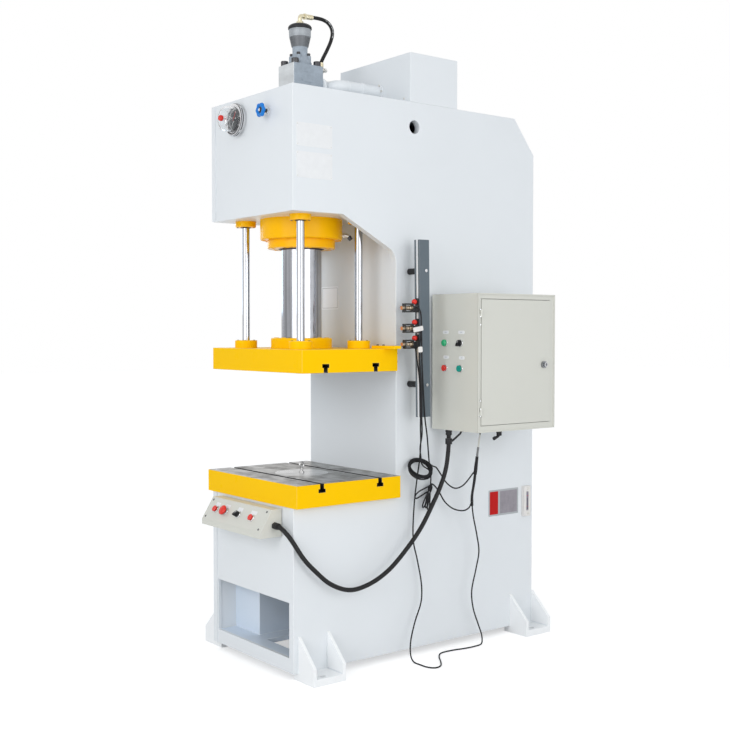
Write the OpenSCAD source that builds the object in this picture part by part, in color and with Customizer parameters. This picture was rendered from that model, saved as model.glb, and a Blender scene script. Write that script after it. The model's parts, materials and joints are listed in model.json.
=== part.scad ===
// Single column hydraulic press, C frame, with guided ram plate.
// Front faces -Y, the switch cabinet hangs on the +X side, the floor is Z = 0.
// The origin is the centre of the four anchor holes, at floor level.

/* [Frame] */
// Width over the two side plates
frame_w = 600; // [540:10:720]
// Depth from the head's front to the rear plate
frame_d = 1290; // [1200:10:1500]
// Height of the frame's flat top above the floor
frame_h = 2260; // [2240:10:2600]
// Thickness of the side plates
side_t = 30; // [20:1:40]
// Thickness of the welded front, top and rear plates
skin_t = 20; // [12:1:25]
// Height of the head's underside above the floor
head_z = 1785; // [1700:5:1900]
// Depth of the throat, from the head's front to the column
throat_d = 500; // [440:10:560]
// Length of the head's level underside, before the side plates slope down
head_flat = 235; // [200:5:300]
// Slope of the side plates under the head, in degrees
throat_slope = 27.7; // [15:0.1:40]
// Radius where that slope meets the column
throat_r = 65; // [30:5:90]
// Depth of the rear top chamfer
chamfer_d = 120; // [60:5:180]
// Height of the rear top chamfer
chamfer_h = 150; // [60:5:220]
// Diameter of the lifting holes in the side plates
lift_d = 54; // [40:1:70]

/* [Base] */
// Thickness of the foot plates, which carry the side plates
foot_t = 28; // [16:1:36]
// Length of a foot along Y
foot_l = 150; // [120:5:200]
// How far a foot reaches out from its side plate
foot_out = 105; // [80:5:140]
// Distance of the front feet behind the frame's front
foot_inset = 20; // [0:5:60]
// Height of a gusset at its outer end
gusset_low = 68; // [50:1:90]
// Height of a gusset at the side plate
gusset_high = 170; // [120:5:240]
// Thickness of a gusset
gusset_t = 14; // [8:1:18]
// Diameter of the anchor holes
anchor_d = 26; // [18:1:32]
// Distance of an anchor hole from its foot's front edge
anchor_in = 60; // [50:1:90]
// Distance of an anchor hole outside the side plate
anchor_out = 75; // [50:1:85]
// Bottom edge of the front window
window_z0 = 83; // [60:1:120]
// Top edge of the front window
window_z1 = 295; // [220:5:340]

/* [Worktable] */
// Width of the worktable
table_w = 660; // [600:10:760]
// Height of the worktable's face above the floor
table_z = 750; // [700:5:800]
// Thickness of the worktable
table_t = 88; // [70:1:110]
// How far the table stands out in front of the frame
table_lip = 5; // [0:1:20]
// Diameter of the centre plug
plug_d = 220; // [160:5:240]
// Neck width of the clamping slots
slot_w = 18; // [14:1:22]
// Width of the slots' feet
slot_foot_w = 32; // [26:1:36]
// Neck depth of the slots
slot_neck = 20; // [16:1:24]
// Height of the slots' feet
slot_foot_h = 14; // [10:1:18]
// Distance of the table's front slot behind the frame's front
table_slot_1 = 112; // [90:1:125]
// Distance of the table's rear slot behind the frame's front
table_slot_2 = 395; // [375:1:420]

/* [Ram] */
// Distance of the press axis behind the frame's front
axis_in = 245; // [235:1:255]
// Width of the ram plate
ram_w = 660; // [600:10:760]
// Length of the ram plate along Y
ram_l = 464; // [440:2:470]
// Distance of the ram plate behind the frame's front
ram_in = 20; // [10:1:30]
// Thickness of the ram plate
ram_t = 90; // [70:1:110]
// Height of the ram plate's top in the pose shown
ram_z = 1262; // [1200:1:1320]
// Travel of the ram up or down from the pose shown
ram_travel = 190; // [150:1:200]
// Diameter of the piston rod
rod_d = 165; // [120:1:180]
// Diameter of the cylinder's bore
bore_d = 200; // [190:1:220]
// Outside diameter of the cylinder
barrel_d = 260; // [240:1:280]
// Length of the piston
piston_l = 80; // [60:1:80]
// Diameter of the guide rods
guide_d = 32; // [24:1:40]
// Spacing of the guide rods along X
guide_dx = 400; // [380:5:420]
// Spacing of the guide rods along Y
guide_dy = 284; // [270:2:300]
// Running clearance of rods in their bushes, on the radius
run_gap = 0.06; // [0.02:0.01:0.1]

/* [Cabinet] */
// Width of the cabinet, along Y
cab_w = 438; // [380:2:520]
// Depth of the cabinet, out from the frame
cab_d = 270; // [220:5:320]
// Height of the cabinet
cab_h = 552; // [500:2:620]
// Height of the cabinet's bottom above the floor
cab_z = 930; // [880:5:980]
// Distance of the cabinet's front behind the frame's front
cab_in = 682; // [660:2:720]
// Gap between the cabinet and the frame, held by spacers
cab_gap = 15; // [10:1:25]
// Thickness of the cabinet's sheet
sheet_t = 3; // [2:0.5:4]

/* [Console] */
// Width of the operator console
con_w = 440; // [400:10:520]
// Height of the console's bottom above the floor
con_z = 545; // [520:5:560]
// Height of the console's back
con_h = 107; // [90:1:110]
// Depth of the console at its lip
con_d = 99; // [80:1:120]
// Depth of the console's top
con_top = 46; // [30:1:60]
// Height of the console's lip
con_lip = 22; // [10:1:40]

/* [Hidden] */
$fn = 64;
small_gap = 0.3;
eps = 1;

// Frame
half_w = frame_w / 2;
inner_x = half_w - side_t;
front_y = -frame_d / 2;
rear_y = frame_d / 2;
column_y = front_y + throat_d;
seat_z = table_z - table_t;
slope_y = front_y + head_flat;
slope_z = head_z - (throat_d - head_flat) * tan(throat_slope);
fillet_t = throat_r * tan((90 - throat_slope) / 2);
fillet_y = column_y - throat_r;
fillet_z = slope_z - fillet_t;
chamfer_y = rear_y - chamfer_d;
chamfer_z = frame_h - chamfer_h;
head_plate_t = 2 * skin_t;
top_under = frame_h - skin_t;
lift_y = front_y + 597;
lift_z = frame_h - 100;
plate_recess = 3;
tower_y0 = front_y + 575;
tower_l = 256;
tower_h = 200;
tower_left = 475;

// Base
foot_rear_y = rear_y + 10 - foot_l;
foot_front_y = front_y + foot_inset;
anchor_x = half_w + anchor_out;
floor_t = skin_t;
cut_x0 = -12;
cut_x1 = 200;
cut_y0 = front_y + 80;
cut_y1 = front_y + 200;
partition_x = -85;
partition_y = front_y + 92;
partition_t = 6;

// Table
table_y0 = front_y - table_lip;
plug_t = 25;
plug_gap = 0.2;

// Ram and cylinder
axis_y = front_y + axis_in;
ram_y0 = front_y + ram_in;
ram_under = ram_z - ram_t;
ram_slot_1 = front_y + 130;
ram_slot_2 = front_y + 373;
flange_d = barrel_d + 76;
flange_h = 83;
port_up = 22;
port_turn = 57;
gland_d = barrel_d + 16;
gland_h = 36;
barrel_z = head_z - flange_h;
gland_spigot = 38;
barrel_end = 30;
barrel_top = top_under - small_gap;
piston_under = barrel_z + gland_spigot + ram_travel + 5;
rod_flange_d = 250;
rod_flange_h = 42;
bush_flange_d = 85;
bush_flange_h = 24;
bush_d = 60;
bush_top = head_z + head_plate_t + 20;
low_flange_d = 92;
low_flange_h = 32;
guide_top = top_under - ram_travel - 10;
striker_x = 396;
striker_w = 34;
striker_seat = 80;
striker_t = 12;

// Valve on the head
block_w = 112;
block_l = 144;
block_h = 148;
block_y0 = front_y + 172;
valve_y = front_y + 240;
valve_z = frame_h + block_h;
body_h = 168;
hose_d = 15;
pipe_d = 50;
pipe_r = 32;
pipe_z = frame_h + 70;
pipe_x = 95;
port_x = pipe_x - 2 * pipe_r;
port_z = frame_h + 125;

// Gauge and handwheel on the head's front
gauge_x = -88;
gauge_z = 2176;
gauge_r = 65;
gauge_case_d = 30;
cover_r = 49;
cover_l = 46;
wheel_x = 130;
wheel_z = 2180;
wheel_stem_d = 16;

// Switch rail, a lipped channel that leans slightly as it is hung
rail_x = half_w + 70;
rail_w = 32;
rail_l = 51;
rail_t = 3;
rail_lip = 10;
rail_y = front_y + 541;
rail_z0 = 988;
rail_z1 = 1696;
rail_mid_z = (rail_z0 + rail_z1) / 2;
rail_lean = 0.8;
rail_axis = rail_x + rail_w / 2;
standoff_y = front_y + 570;
standoff_z = [1117, 1573];
sensor_z = [1281, 1344, 1425];
sensor_r = 9;
sensor_tip = front_y + 457;
sensor_range = 9;
bracket_w = 20;
bracket_h = 36;
bracket_y = front_y + 470;
bracket_back = 45;
knob_z = 24;
knob_r = 11;

// Cabinet
cab_x0 = half_w + cab_gap;
cab_x1 = cab_x0 + cab_d;
cab_y0 = front_y + cab_in;
cab_y1 = cab_y0 + cab_w;
cab_z1 = cab_z + cab_h;
door_y0 = cab_y0 + 17;
door_y1 = cab_y1 - 26;
door_z0 = cab_z + 26;
door_z1 = cab_z1 - 22;
door_gap = 2;
door_t = 20;
door_proud = 2;
hinge_x = cab_x1 + 6;
hinge_y = door_y0 - 3;
hinge_r = 5;
pin_r = 2.5;
hinge_zs = [cab_z + 84, cab_z1 - 81];
hinge_l = 30;
lock_y = door_y1 - 42;
lock_z = cab_z + 264;
panel_x0 = cab_x0 + 80;
panel_x1 = cab_x0 + 170;
panel_z0 = cab_z + 252;
panel_z1 = cab_z + 354;

// Push buttons, selectors and the stop button
hole_r = 10;
ring_r = 14.5;
ring_h = 5;
cap_r = hole_r - 0.1;
cap_in = 14;
press_in = 4;

// Console
con_slope_l = norm([con_d - con_top, con_h - con_lip]);
con_tilt = atan2(con_h - con_lip, con_d - con_top);
con_wall = 3;
con_mid_y = front_y - (con_d + con_top) / 2;
con_mid_z = con_z + (con_h + con_lip) / 2;
stop_x = -75;
left_x = -150;
selector_x = 20;
right_x = 120;

// Level gauge
level_y = front_y + 1242;
level_z = 577;

// Glands
con_gland_z = 590;
con_gland_y = front_y - 33;
gland_r = 13;
hose_gland = [380, 70];
cable_gland = [440, 190];
spare_gland = [540, 200];

// Cords: hand-laid routes, sizes in millimetres
big_hose_d = 18;
cable_d = 6;
console_hose_route = [
    [250, -678, 590], [272, -678, 587], [304, -660, 548], [332, -618, 470],
    [344, -571, 418],
    [352, -509, 365], [360, -424, 332], [366, -335, 343],
    [370, -242, 385], [375, -150, 462], [378, -77, 540], [380, -20, 625],
    [380, 26, 700], [380, 55, 770], [380, 69, 860], [380, 70, 905]
];
cable_a_route = [
    [386, -115, 1262.3], [389, -112, 1232], [397, -109, 1180], [405, -107, 1100],
    [405, -104, 985], [394, -95, 945], [376, -78, 885], [350, -61, 815],
    [333, -60, 735], [328, -71, 630], [328, -76, 480], [330, -57, 402],
    [335, -37, 290], [338, -42, 225], [346, -82, 150], [354, -112, 70],
    [366, -120, 20], [390, -125, 4], [430, -128, 4], [478, -126, 4],
    [502, -106, 4], [494, -74, 4], [450, -34, 4], [400, 2, 4],
    [364, 44, 4], [362, 110, 4], [374, 170, 4], [376, 232, 4],
    [364, 276, 5], [347, 292, 32], [350, 268, 85], [357, 232, 160],
    [364, 216, 235], [371, 234, 330], [375, 247, 402], [378, 232, 475],
    [384, 204, 565], [396, 186, 640], [410, 185, 705], [432, 185, 842],
    [440, 190, 912]
];
cable_b_upper = [
    [396, -120, 1344], [411, -118, 1343], [417, -114, 1328], [412, -114, 1290],
    [407, -113, 1230], [412, -106, 1110], [411, -103, 990], [398, -90, 920],
    [373, -79, 860], [354, -53, 824], [341, -36, 803]
];
cable_b_lower = [
    [353, -8, 780], [346, 24, 777], [340, 56, 750], [346, 92, 700],
    [360, 125, 679], [376, 153, 690], [394, 174, 722], [412, 186, 752]
];
cable_c_upper = [
    [396, -120, 1425], [408, -117, 1423], [413, -111, 1404], [413, -107, 1330],
    [413, -105, 1230], [409, -95, 1120], [406, -82, 985], [376, -44, 908],
    [344, -6, 806], [322, 20, 704]
];
cable_c_lower = [
    [325, 28, 696], [330, 58, 672], [336, 90, 622], [352, 124, 592],
    [372, 164, 584], [383, 183, 596], [389, 189, 616]
];
coil_mid = [354, -62, 774];
coil_r = 46;
coil_section_r = 10;
coil_lean = 48;
hank_t = 14;
hank_tie = [322, 20, 697];
hank_lobes = [[-6, 98, 20], [-30, 92, 14], [-62, 88, 26]];

// ---- helpers ----

// Extrudes an outline drawn in Y and Z along +X
module along_x(x, length) {
    translate([x, 0, 0]) rotate([90, 0, 90]) linear_extrude(length) children();
}

// Extrudes an outline drawn in X and Z along +Y
module along_y(y, length) {
    translate([0, y + length, 0]) rotate([90, 0, 0]) linear_extrude(length) children();
}

module block(low, high) {
    translate(low) cube(high - low);
}

module facing_front(x, y, z) {
    translate([x, y, z]) rotate([90, 0, 0]) children();
}

module on_console(x) {
    translate([x, con_mid_y, con_mid_z]) rotate([con_tilt, 0, 0]) children();
}

module four_guides() {
    for (sx = [-1, 1], sy = [-1, 1])
        translate([sx * guide_dx / 2, axis_y + sy * guide_dy / 2, 0]) children();
}

// Sweeps a circle along a list of points, as one closed tube
function unit(v) = v / norm(v);
function along(route, i) =
    unit(route[min(i + 1, len(route) - 1)] - route[max(i - 1, 0)]);
function side_of(t, up) = unit(cross(t, abs(t * up) > 0.99 ? [1, 0, 0] : up));
function carried(s, t) = unit(s - (s * t) * t);
function frames(route, i, s) =
    i == len(route) ? [] :
    let (t = along(route, i), n = carried(s, t))
    concat([[n, cross(t, n)]], frames(route, i + 1, n));

module tube(route, d, sides) {
    first = side_of(along(route, 0), [0, 0, 1]);
    axes = frames(route, 0, first);
    rings = len(route);
    points = [
        for (i = [0 : rings - 1], k = [0 : sides - 1])
            route[i] + d / 2 * (cos(k * 360 / sides) * axes[i][0] + sin(k * 360 / sides) * axes[i][1])
    ];
    walls = [
        for (i = [0 : rings - 2], k = [0 : sides - 1])
            let (a = i * sides + k, b = i * sides + (k + 1) % sides)
            [a, a + sides, b + sides, b]
    ];
    ends = [
        [for (k = [0 : sides - 1]) k],
        [for (k = [0 : sides - 1]) rings * sides - 1 - k]
    ];
    polyhedron(points, concat(walls, ends));
}

// Adds one rounded point in each stretch of a route
function mid_of(r, i) =
    let (a = r[max(i - 1, 0)], b = r[i], c = r[i + 1], d = r[min(i + 2, len(r) - 1)])
    (9 * (b + c) - a - d) / 16;
function smooth(r) =
    [for (i = [0 : len(r) - 2], k = [0, 1]) k == 0 ? r[i] : mid_of(r, i), r[len(r) - 1]];

// ---- frame ----

module side_outline() {
    difference() {
        polygon([
            [front_y, foot_t], [front_y, seat_z], [column_y, seat_z],
            [column_y, fillet_z], [fillet_y, fillet_z],
            [column_y - fillet_t * cos(throat_slope), slope_z + fillet_t * sin(throat_slope)],
            [slope_y, head_z], [front_y, head_z], [front_y, frame_h],
            [chamfer_y, frame_h], [rear_y, chamfer_z], [rear_y, foot_t]
        ]);
        translate([fillet_y, fillet_z]) circle(r = throat_r, $fn = 128);
        translate([lift_y, lift_z]) circle(d = lift_d);
    }
}

module left_side_plate() {
    color("whitesmoke") along_x(-half_w, side_t) side_outline();
}

module right_side_plate() {
    color("whitesmoke") along_x(inner_x, side_t) side_outline();
}

module head_front_plate() {
    color("whitesmoke") difference() {
        block([-inner_x, front_y + plate_recess, head_z + head_plate_t],
            [inner_x, front_y + skin_t, frame_h]);
        facing_front(wheel_x, front_y + skin_t + eps, wheel_z)
            cylinder(d = wheel_stem_d + 2 * run_gap, h = skin_t + 2 * eps);
        facing_front(gauge_x, front_y + skin_t + eps, gauge_z)
            cylinder(d = 22, h = skin_t + 2 * eps);
    }
}

module head_bottom_plate() {
    color("whitesmoke") difference() {
        block([-inner_x, front_y + plate_recess, head_z], [inner_x, column_y, head_z + head_plate_t]);
        translate([0, axis_y, head_z - eps]) cylinder(d = barrel_d, h = head_plate_t + 2 * eps, $fn = 128);
        translate([0, 0, head_z - eps]) four_guides() cylinder(d = bush_d, h = head_plate_t + 2 * eps);
    }
}

module column_front_plate() {
    color("whitesmoke")
        block([-inner_x, column_y, window_z0], [inner_x, column_y + skin_t, head_z + head_plate_t]);
}

module head_top_plate() {
    color("whitesmoke") difference() {
        block([-inner_x, front_y + skin_t, top_under], [inner_x, chamfer_y, frame_h]);
        translate([0, axis_y, top_under - eps]) cylinder(d = 90, h = skin_t + 2 * eps);
    }
}

// One bent plate: the rear wall and the chamfer above it
module rear_plate() {
    inner_y = rear_y - skin_t;
    lean = atan2(chamfer_h, chamfer_d);
    drop = skin_t / cos(lean);
    inner_top = chamfer_z - skin_t * tan((90 - lean) / 2);
    color("whitesmoke") along_x(-inner_x, 2 * inner_x) polygon([
        [rear_y, foot_t], [rear_y, chamfer_z], [chamfer_y, frame_h],
        [chamfer_y, frame_h - drop], [inner_y, inner_top], [inner_y, foot_t]
    ]);
}

module base_front_plate() {
    color("whitesmoke") difference() {
        block([-inner_x, front_y + plate_recess, foot_t], [inner_x, front_y + skin_t, seat_z]);
        block([-inner_x + 4, front_y - eps, window_z0], [inner_x - 4, front_y + skin_t + eps, window_z1]);
    }
}

// Floor with its hand hole, the tank floor and the bent partition
module base_inner_plates() {
    floor_z = window_z0 - floor_t;
    color("whitesmoke") {
        difference() {
            block([-inner_x, front_y + skin_t, floor_z], [inner_x, column_y + skin_t, window_z0]);
            block([cut_x0, cut_y0, floor_z - eps], [cut_x1, cut_y1, window_z0 + eps]);
        }
        block([-inner_x, column_y + skin_t, floor_z], [inner_x, rear_y - skin_t, window_z0]);
        block([-inner_x, partition_y, window_z0], [partition_x, partition_y + partition_t, seat_z]);
        block([partition_x - partition_t, partition_y + partition_t, window_z0],
            [partition_x, column_y, seat_z]);
    }
}

// Sheet cover over the motor and pump, open underneath
module tower_cover() {
    x0 = half_w - tower_left;
    color("whitesmoke") difference() {
        block([x0, tower_y0, frame_h], [half_w, tower_y0 + tower_l, frame_h + tower_h]);
        block([x0 + sheet_t, tower_y0 + sheet_t, frame_h - eps],
            [half_w - sheet_t, tower_y0 + tower_l - sheet_t, frame_h + tower_h - sheet_t]);
    }
}

module foot() {
    difference() {
        union() {
            block([inner_x, 0, 0], [half_w + foot_out, foot_l, foot_t]);
            for (y = [0, foot_l - gusset_t]) along_y(y, gusset_t) polygon([
                [half_w, foot_t - eps], [half_w + foot_out, foot_t - eps],
                [half_w + foot_out, gusset_low], [half_w, gusset_high]
            ]);
        }
        translate([anchor_x, anchor_in, -eps]) cylinder(d = anchor_d, h = foot_t + 2 * eps);
    }
}

module feet() {
    color("whitesmoke") for (side = [0, 1]) mirror([side, 0, 0]) {
        translate([0, foot_front_y, 0]) foot();
        translate([0, foot_rear_y, 0]) foot();
    }
}

// ---- worktable ----

// A slot that runs along X, cut down from z
module tee_slot(y, z, w) {
    translate([-w / 2 - eps, y, z]) {
        translate([0, -slot_w / 2, -slot_neck]) cube([w + 2 * eps, slot_w, slot_neck + eps]);
        translate([0, -slot_foot_w / 2, -slot_neck - slot_foot_h])
            cube([w + 2 * eps, slot_foot_w, slot_foot_h]);
    }
}

module worktable() {
    color("gold") difference() {
        block([-table_w / 2, table_y0, seat_z], [table_w / 2, column_y, table_z]);
        tee_slot(front_y + table_slot_1, table_z, table_w);
        tee_slot(front_y + table_slot_2, table_z, table_w);
        translate([0, axis_y, table_z - plug_t])
            cylinder(d = plug_d, h = plug_t + eps, $fn = 128);
    }
}

// Plug of the centre hole, with the eye that lifts it out
module table_plug() {
    color("silver") translate([0, axis_y, 0]) {
        translate([0, 0, table_z - plug_t]) cylinder(d = plug_d - 2 * plug_gap, h = plug_t, $fn = 128);
        translate([0, 0, table_z]) cylinder(d = 22, h = 6);
        translate([0, 0, table_z + 4]) cylinder(d = 11, h = 16);
        translate([0, 0, table_z + 32]) rotate([0, 90, 0]) rotate_extrude() translate([10, 0]) circle(r = 4, $fn = 32);
    }
}

// ---- cylinder, ram and guides ----

module cylinder_barrel() {
    color("dimgray") translate([0, axis_y, 0]) difference() {
        union() {
            translate([0, 0, barrel_z]) cylinder(d = barrel_d, h = barrel_top - barrel_z, $fn = 128);
            translate([0, 0, barrel_top - eps]) cylinder(d = 89, h = frame_h - barrel_top + eps);
        }
        translate([0, 0, barrel_z - eps])
            cylinder(d = bore_d, h = barrel_top - barrel_end - barrel_z + eps, $fn = 128);
    }
}

module cylinder_flange() {
    color("orange") translate([0, axis_y, barrel_z]) difference() {
        rotate_extrude($fn = 128) polygon([
            [barrel_d / 2, 0], [flange_d / 2 - 3, 0], [flange_d / 2, 3],
            [flange_d / 2, flange_h], [barrel_d / 2, flange_h]
        ]);
        translate([0, 0, port_up]) rotate([0, 0, port_turn]) translate([flange_d / 2 - small_gap, 0, 0])
            rotate([0, 90, 0]) cylinder(d = 24, h = 5);
    }
}

module gland_ring() {
    color("orange") translate([0, axis_y, barrel_z]) rotate_extrude($fn = 128) polygon([
        [rod_d / 2 + run_gap, -gland_h], [gland_d / 2 - 3, -gland_h], [gland_d / 2, 3 - gland_h],
        [gland_d / 2, 0], [bore_d / 2, 0], [bore_d / 2, gland_spigot],
        [rod_d / 2 + run_gap, gland_spigot]
    ]);
}

module piston_rod() {
    color("silver") translate([0, axis_y, 0]) {
        translate([0, 0, ram_z]) cylinder(d = rod_d, h = piston_under - ram_z + eps, $fn = 128);
        translate([0, 0, piston_under]) cylinder(d = bore_d - 2 * run_gap, h = piston_l, $fn = 128);
    }
}

module rod_flange() {
    color("gold") translate([0, axis_y, ram_z]) rotate_extrude($fn = 128) polygon([
        [rod_d / 2, 0], [rod_flange_d / 2, 0], [rod_flange_d / 2, rod_flange_h - 3],
        [rod_flange_d / 2 - 3, rod_flange_h], [rod_d / 2, rod_flange_h]
    ]);
}

module ram_plate() {
    color("gold") difference() {
        block([-ram_w / 2, ram_y0, ram_under], [ram_w / 2, ram_y0 + ram_l, ram_z]);
        translate([0, 0, 2 * ram_under]) mirror([0, 0, 1]) {
            tee_slot(ram_slot_1, ram_under, ram_w);
            tee_slot(ram_slot_2, ram_under, ram_w);
        }
    }
}

// Bar on the ram; its end passes in front of the sensors
module ram_striker() {
    rear = sensor_tip - sensor_range;
    color("gold")
        block([ram_w / 2 - striker_seat, rear - striker_w, ram_z], [striker_x, rear, ram_z + striker_t]);
}

module guide_rods() {
    color("silver") translate([0, 0, ram_z]) four_guides() {
        cylinder(d = guide_d, h = guide_top - ram_z - 3);
        translate([0, 0, guide_top - ram_z - 3]) cylinder(d1 = guide_d, d2 = guide_d - 6, h = 3);
    }
}

module guide_bushes() {
    color("orange") translate([0, 0, head_z]) four_guides() rotate_extrude() polygon([
        [guide_d / 2 + run_gap, -bush_flange_h], [bush_flange_d / 2 - 2, -bush_flange_h],
        [bush_flange_d / 2, 2 - bush_flange_h], [bush_flange_d / 2, 0], [bush_d / 2, 0],
        [bush_d / 2, bush_top - head_z], [guide_d / 2 + run_gap, bush_top - head_z]
    ]);
}

module guide_rod_flanges() {
    color("gold") translate([0, 0, ram_z]) four_guides() rotate_extrude() polygon([
        [guide_d / 2, 0], [low_flange_d / 2, 0], [low_flange_d / 2, low_flange_h - 2],
        [low_flange_d / 2 - 2, low_flange_h], [guide_d / 2, low_flange_h]
    ]);
}

// ---- valve, hose and pipe on the head ----

module valve_block() {
    color("slategray")
        block([-block_w / 2, block_y0, frame_h], [block_w / 2, block_y0 + block_l, valve_z]);
}

module valve_body() {
    color("dimgray") translate([0, valve_y, valve_z]) rotate_extrude() polygon([
        [0, 0], [48, 0], [48, 14], [31, 40], [31, 62], [34, 80], [39, 92], [44.5, 114],
        [47.5, 134], [48, body_h - 14], [45, body_h - 6], [37, body_h], [0, body_h]
    ]);
}

// Elbow on the valve, elbow on the block and the rod-side port elbow
module hose_fittings() {
    elbow_z = valve_z + body_h;
    color("goldenrod") {
        translate([0, valve_y, elbow_z]) {
            cylinder(d = 30, h = 14, $fn = 6);
            translate([0, 0, 13]) cylinder(d = 18, h = 24);
            translate([0, 0, 37]) sphere(d = 18);
            translate([0, 0, 37]) rotate([-90, 0, 0]) cylinder(d = 18, h = 30);
        }
        translate([0, block_y0 + block_l, port_z]) {
            rotate([-90, 0, 0]) cylinder(d = 22, h = 29);
            translate([0, 29, 0]) sphere(d = 22);
            translate([0, 29, 0]) cylinder(d = 20, h = 25);
        }
        translate([0, axis_y, barrel_z + port_up]) rotate([0, 0, port_turn]) {
            translate([flange_d / 2 - small_gap, 0, 0]) rotate([0, 90, 0]) cylinder(d = 20, h = 22);
            translate([flange_d / 2 + 21, 0, 0]) sphere(d = 20);
            translate([flange_d / 2 + 21, 0, 0]) rotate([0, 140, 0]) cylinder(d = 18, h = 24);
        }
    }
}

module pressure_hose() {
    start = [0, valve_y + 30, valve_z + body_h + 37];
    end = [0, block_y0 + block_l + 29, port_z + 25];
    route = [
        start, start + [0, 22, 2], start + [0, 55, 4], start + [0, 88, 2], start + [0, 112, -7],
        start + [0, 128, -24], start + [0, 133, -46], start + [0, 126, -76],
        start + [0, 106, -118], start + [0, 85, -155], end + [0, 0, 26], end
    ];
    color("black") tube(smooth(route), hose_d, 12);
}

// Suction pipe from the block's rear, with two bends, to the tower
module suction_pipe() {
    y0 = block_y0 + block_l;
    y1 = y0 + 12;
    color("whitesmoke") translate([0, 0, pipe_z]) {
        translate([port_x, y0, 0]) rotate([-90, 0, 0]) cylinder(d = pipe_d + 22, h = 10);
        translate([port_x, y0 + 9, 0]) rotate([-90, 0, 0]) cylinder(d = pipe_d, h = y1 - y0 - 9 + 0.01);
        translate([port_x + pipe_r, y1, 0]) rotate([0, 0, 90]) quarter_bend();
        translate([port_x + pipe_r, y1 + 2 * pipe_r, 0]) rotate([0, 0, -90]) quarter_bend();
        translate([pipe_x, y1 + 2 * pipe_r, 0]) rotate([-90, 0, 0])
            cylinder(d = pipe_d, h = tower_y0 - y1 - 2 * pipe_r);
        translate([pipe_x, tower_y0 - 8, 0]) rotate([-90, 0, 0]) cylinder(d = pipe_d + 16, h = 8);
    }
}

module quarter_bend() {
    rotate_extrude(angle = 90) translate([pipe_r, 0]) circle(d = pipe_d);
}

// ---- gauge and handwheel ----

module gauge_case() {
    color("silver") facing_front(gauge_x, front_y + plate_recess, gauge_z) rotate_extrude($fn = 96) polygon([
        [0, -skin_t], [10.9, -skin_t], [10.9, 0], [gauge_r - 8, 0], [gauge_r - 8, 12],
        [gauge_r, 12], [gauge_r, gauge_case_d - 3], [gauge_r - 3, gauge_case_d],
        [cover_r + 0.2, gauge_case_d], [cover_r + 0.2, 16], [0, 16]
    ]);
}

// Clear cup over the dial
module gauge_cover() {
    top = gauge_case_d + cover_l;
    color("lightcyan", 0.4) facing_front(gauge_x, front_y + plate_recess, gauge_z)
        rotate_extrude($fn = 96) polygon([
            [cover_r, 17], [cover_r, top - 14], [cover_r - 4, top - 5], [cover_r - 14, top],
            [3.2, top], [3.2, top - 3], [cover_r - 15, top - 3], [cover_r - 6.5, top - 7.5],
            [cover_r - 3, top - 15], [cover_r - 3, 17]
        ]);
}

module gauge_pointer() {
    color("black") facing_front(gauge_x, front_y + plate_recess, gauge_z) rotate([0, 0, 225]) {
        translate([0, 0, 16.3]) cylinder(r = 5, h = 8);
        translate([-10, -1.5, 20]) cube([48, 3, 1.5]);
    }
}

module gauge_set_knob() {
    top = gauge_case_d + cover_l;
    color("red") facing_front(gauge_x, front_y + plate_recess, gauge_z) {
        translate([0, 0, 25]) cylinder(r = 3.1, h = top - 24);
        translate([0, 0, top + small_gap]) cylinder(r = 11, h = 15);
        rotate([0, 0, 60]) translate([-6, -1, 26]) cube([40, 2, 1.2]);
    }
}

module handwheel() {
    color("royalblue") facing_front(wheel_x, front_y + skin_t + 8, wheel_z) {
        cylinder(d = wheel_stem_d, h = skin_t + 40);
        translate([0, 0, skin_t + 8 - plate_recess + small_gap]) cylinder(d = 26, h = 12, $fn = 6);
        translate([0, 0, skin_t + 34]) {
            cylinder(r = 22, h = 14);
            for (a = [0 : 60 : 300]) rotate([0, 0, a]) translate([20, 0, 0]) cylinder(r = 9, h = 14);
        }
    }
}

// ---- sensors and their rail ----

// Leans what hangs on the rail
module leaning() {
    translate([0, standoff_y, rail_mid_z]) rotate([rail_lean, 0, 0])
        translate([0, -standoff_y, -rail_mid_z]) children();
}

// Lipped channel, open towards -Y
module switch_rail() {
    y1 = rail_y + rail_l;
    color("darkslategray") leaning() translate([0, 0, rail_z0]) linear_extrude(rail_z1 - rail_z0)
        difference() {
            translate([rail_x, rail_y]) square([rail_w, rail_l]);
            translate([rail_x + rail_t, rail_y + rail_t])
                square([rail_w - 2 * rail_t, rail_l - 2 * rail_t]);
            translate([rail_x + rail_lip, rail_y - eps]) square([rail_w - 2 * rail_lip, rail_t + 2 * eps]);
        }
}

module rail_standoffs() {
    color("black") for (z = standoff_z) translate([half_w, standoff_y, z]) rotate([0, 90, 0])
        cylinder(d = 25, h = rail_x - half_w);
}

// Frame round a sensor, with an ear that is clamped to the rail's lips
module sensor_bracket() {
    x0 = -bracket_w / 2;
    half_h = bracket_h / 2;
    rear = rail_y - bracket_y;
    difference() {
        along_x(x0, bracket_w) difference() {
            polygon([
                [0, -half_h], [rear, -half_h], [rear, knob_z + 14], [rear - 5, knob_z + 14],
                [rear - 5, 9.5], [bracket_back, 9.5], [bracket_back, half_h], [0, half_h]
            ]);
            translate([5, -12]) square([bracket_back - 10, 24]);
        }
        translate([0, -eps, 0]) rotate([-90, 0, 0]) cylinder(r = sensor_r, h = 61);
        translate([0, rear + eps, knob_z]) rotate([90, 0, 0]) cylinder(r = 4, h = 5 + 2 * eps);
    }
}

module at_sensors() {
    leaning() for (z = sensor_z) translate([rail_axis, bracket_y, z]) children();
}

module sensor_brackets() {
    color("black") at_sensors() sensor_bracket();
}

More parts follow.
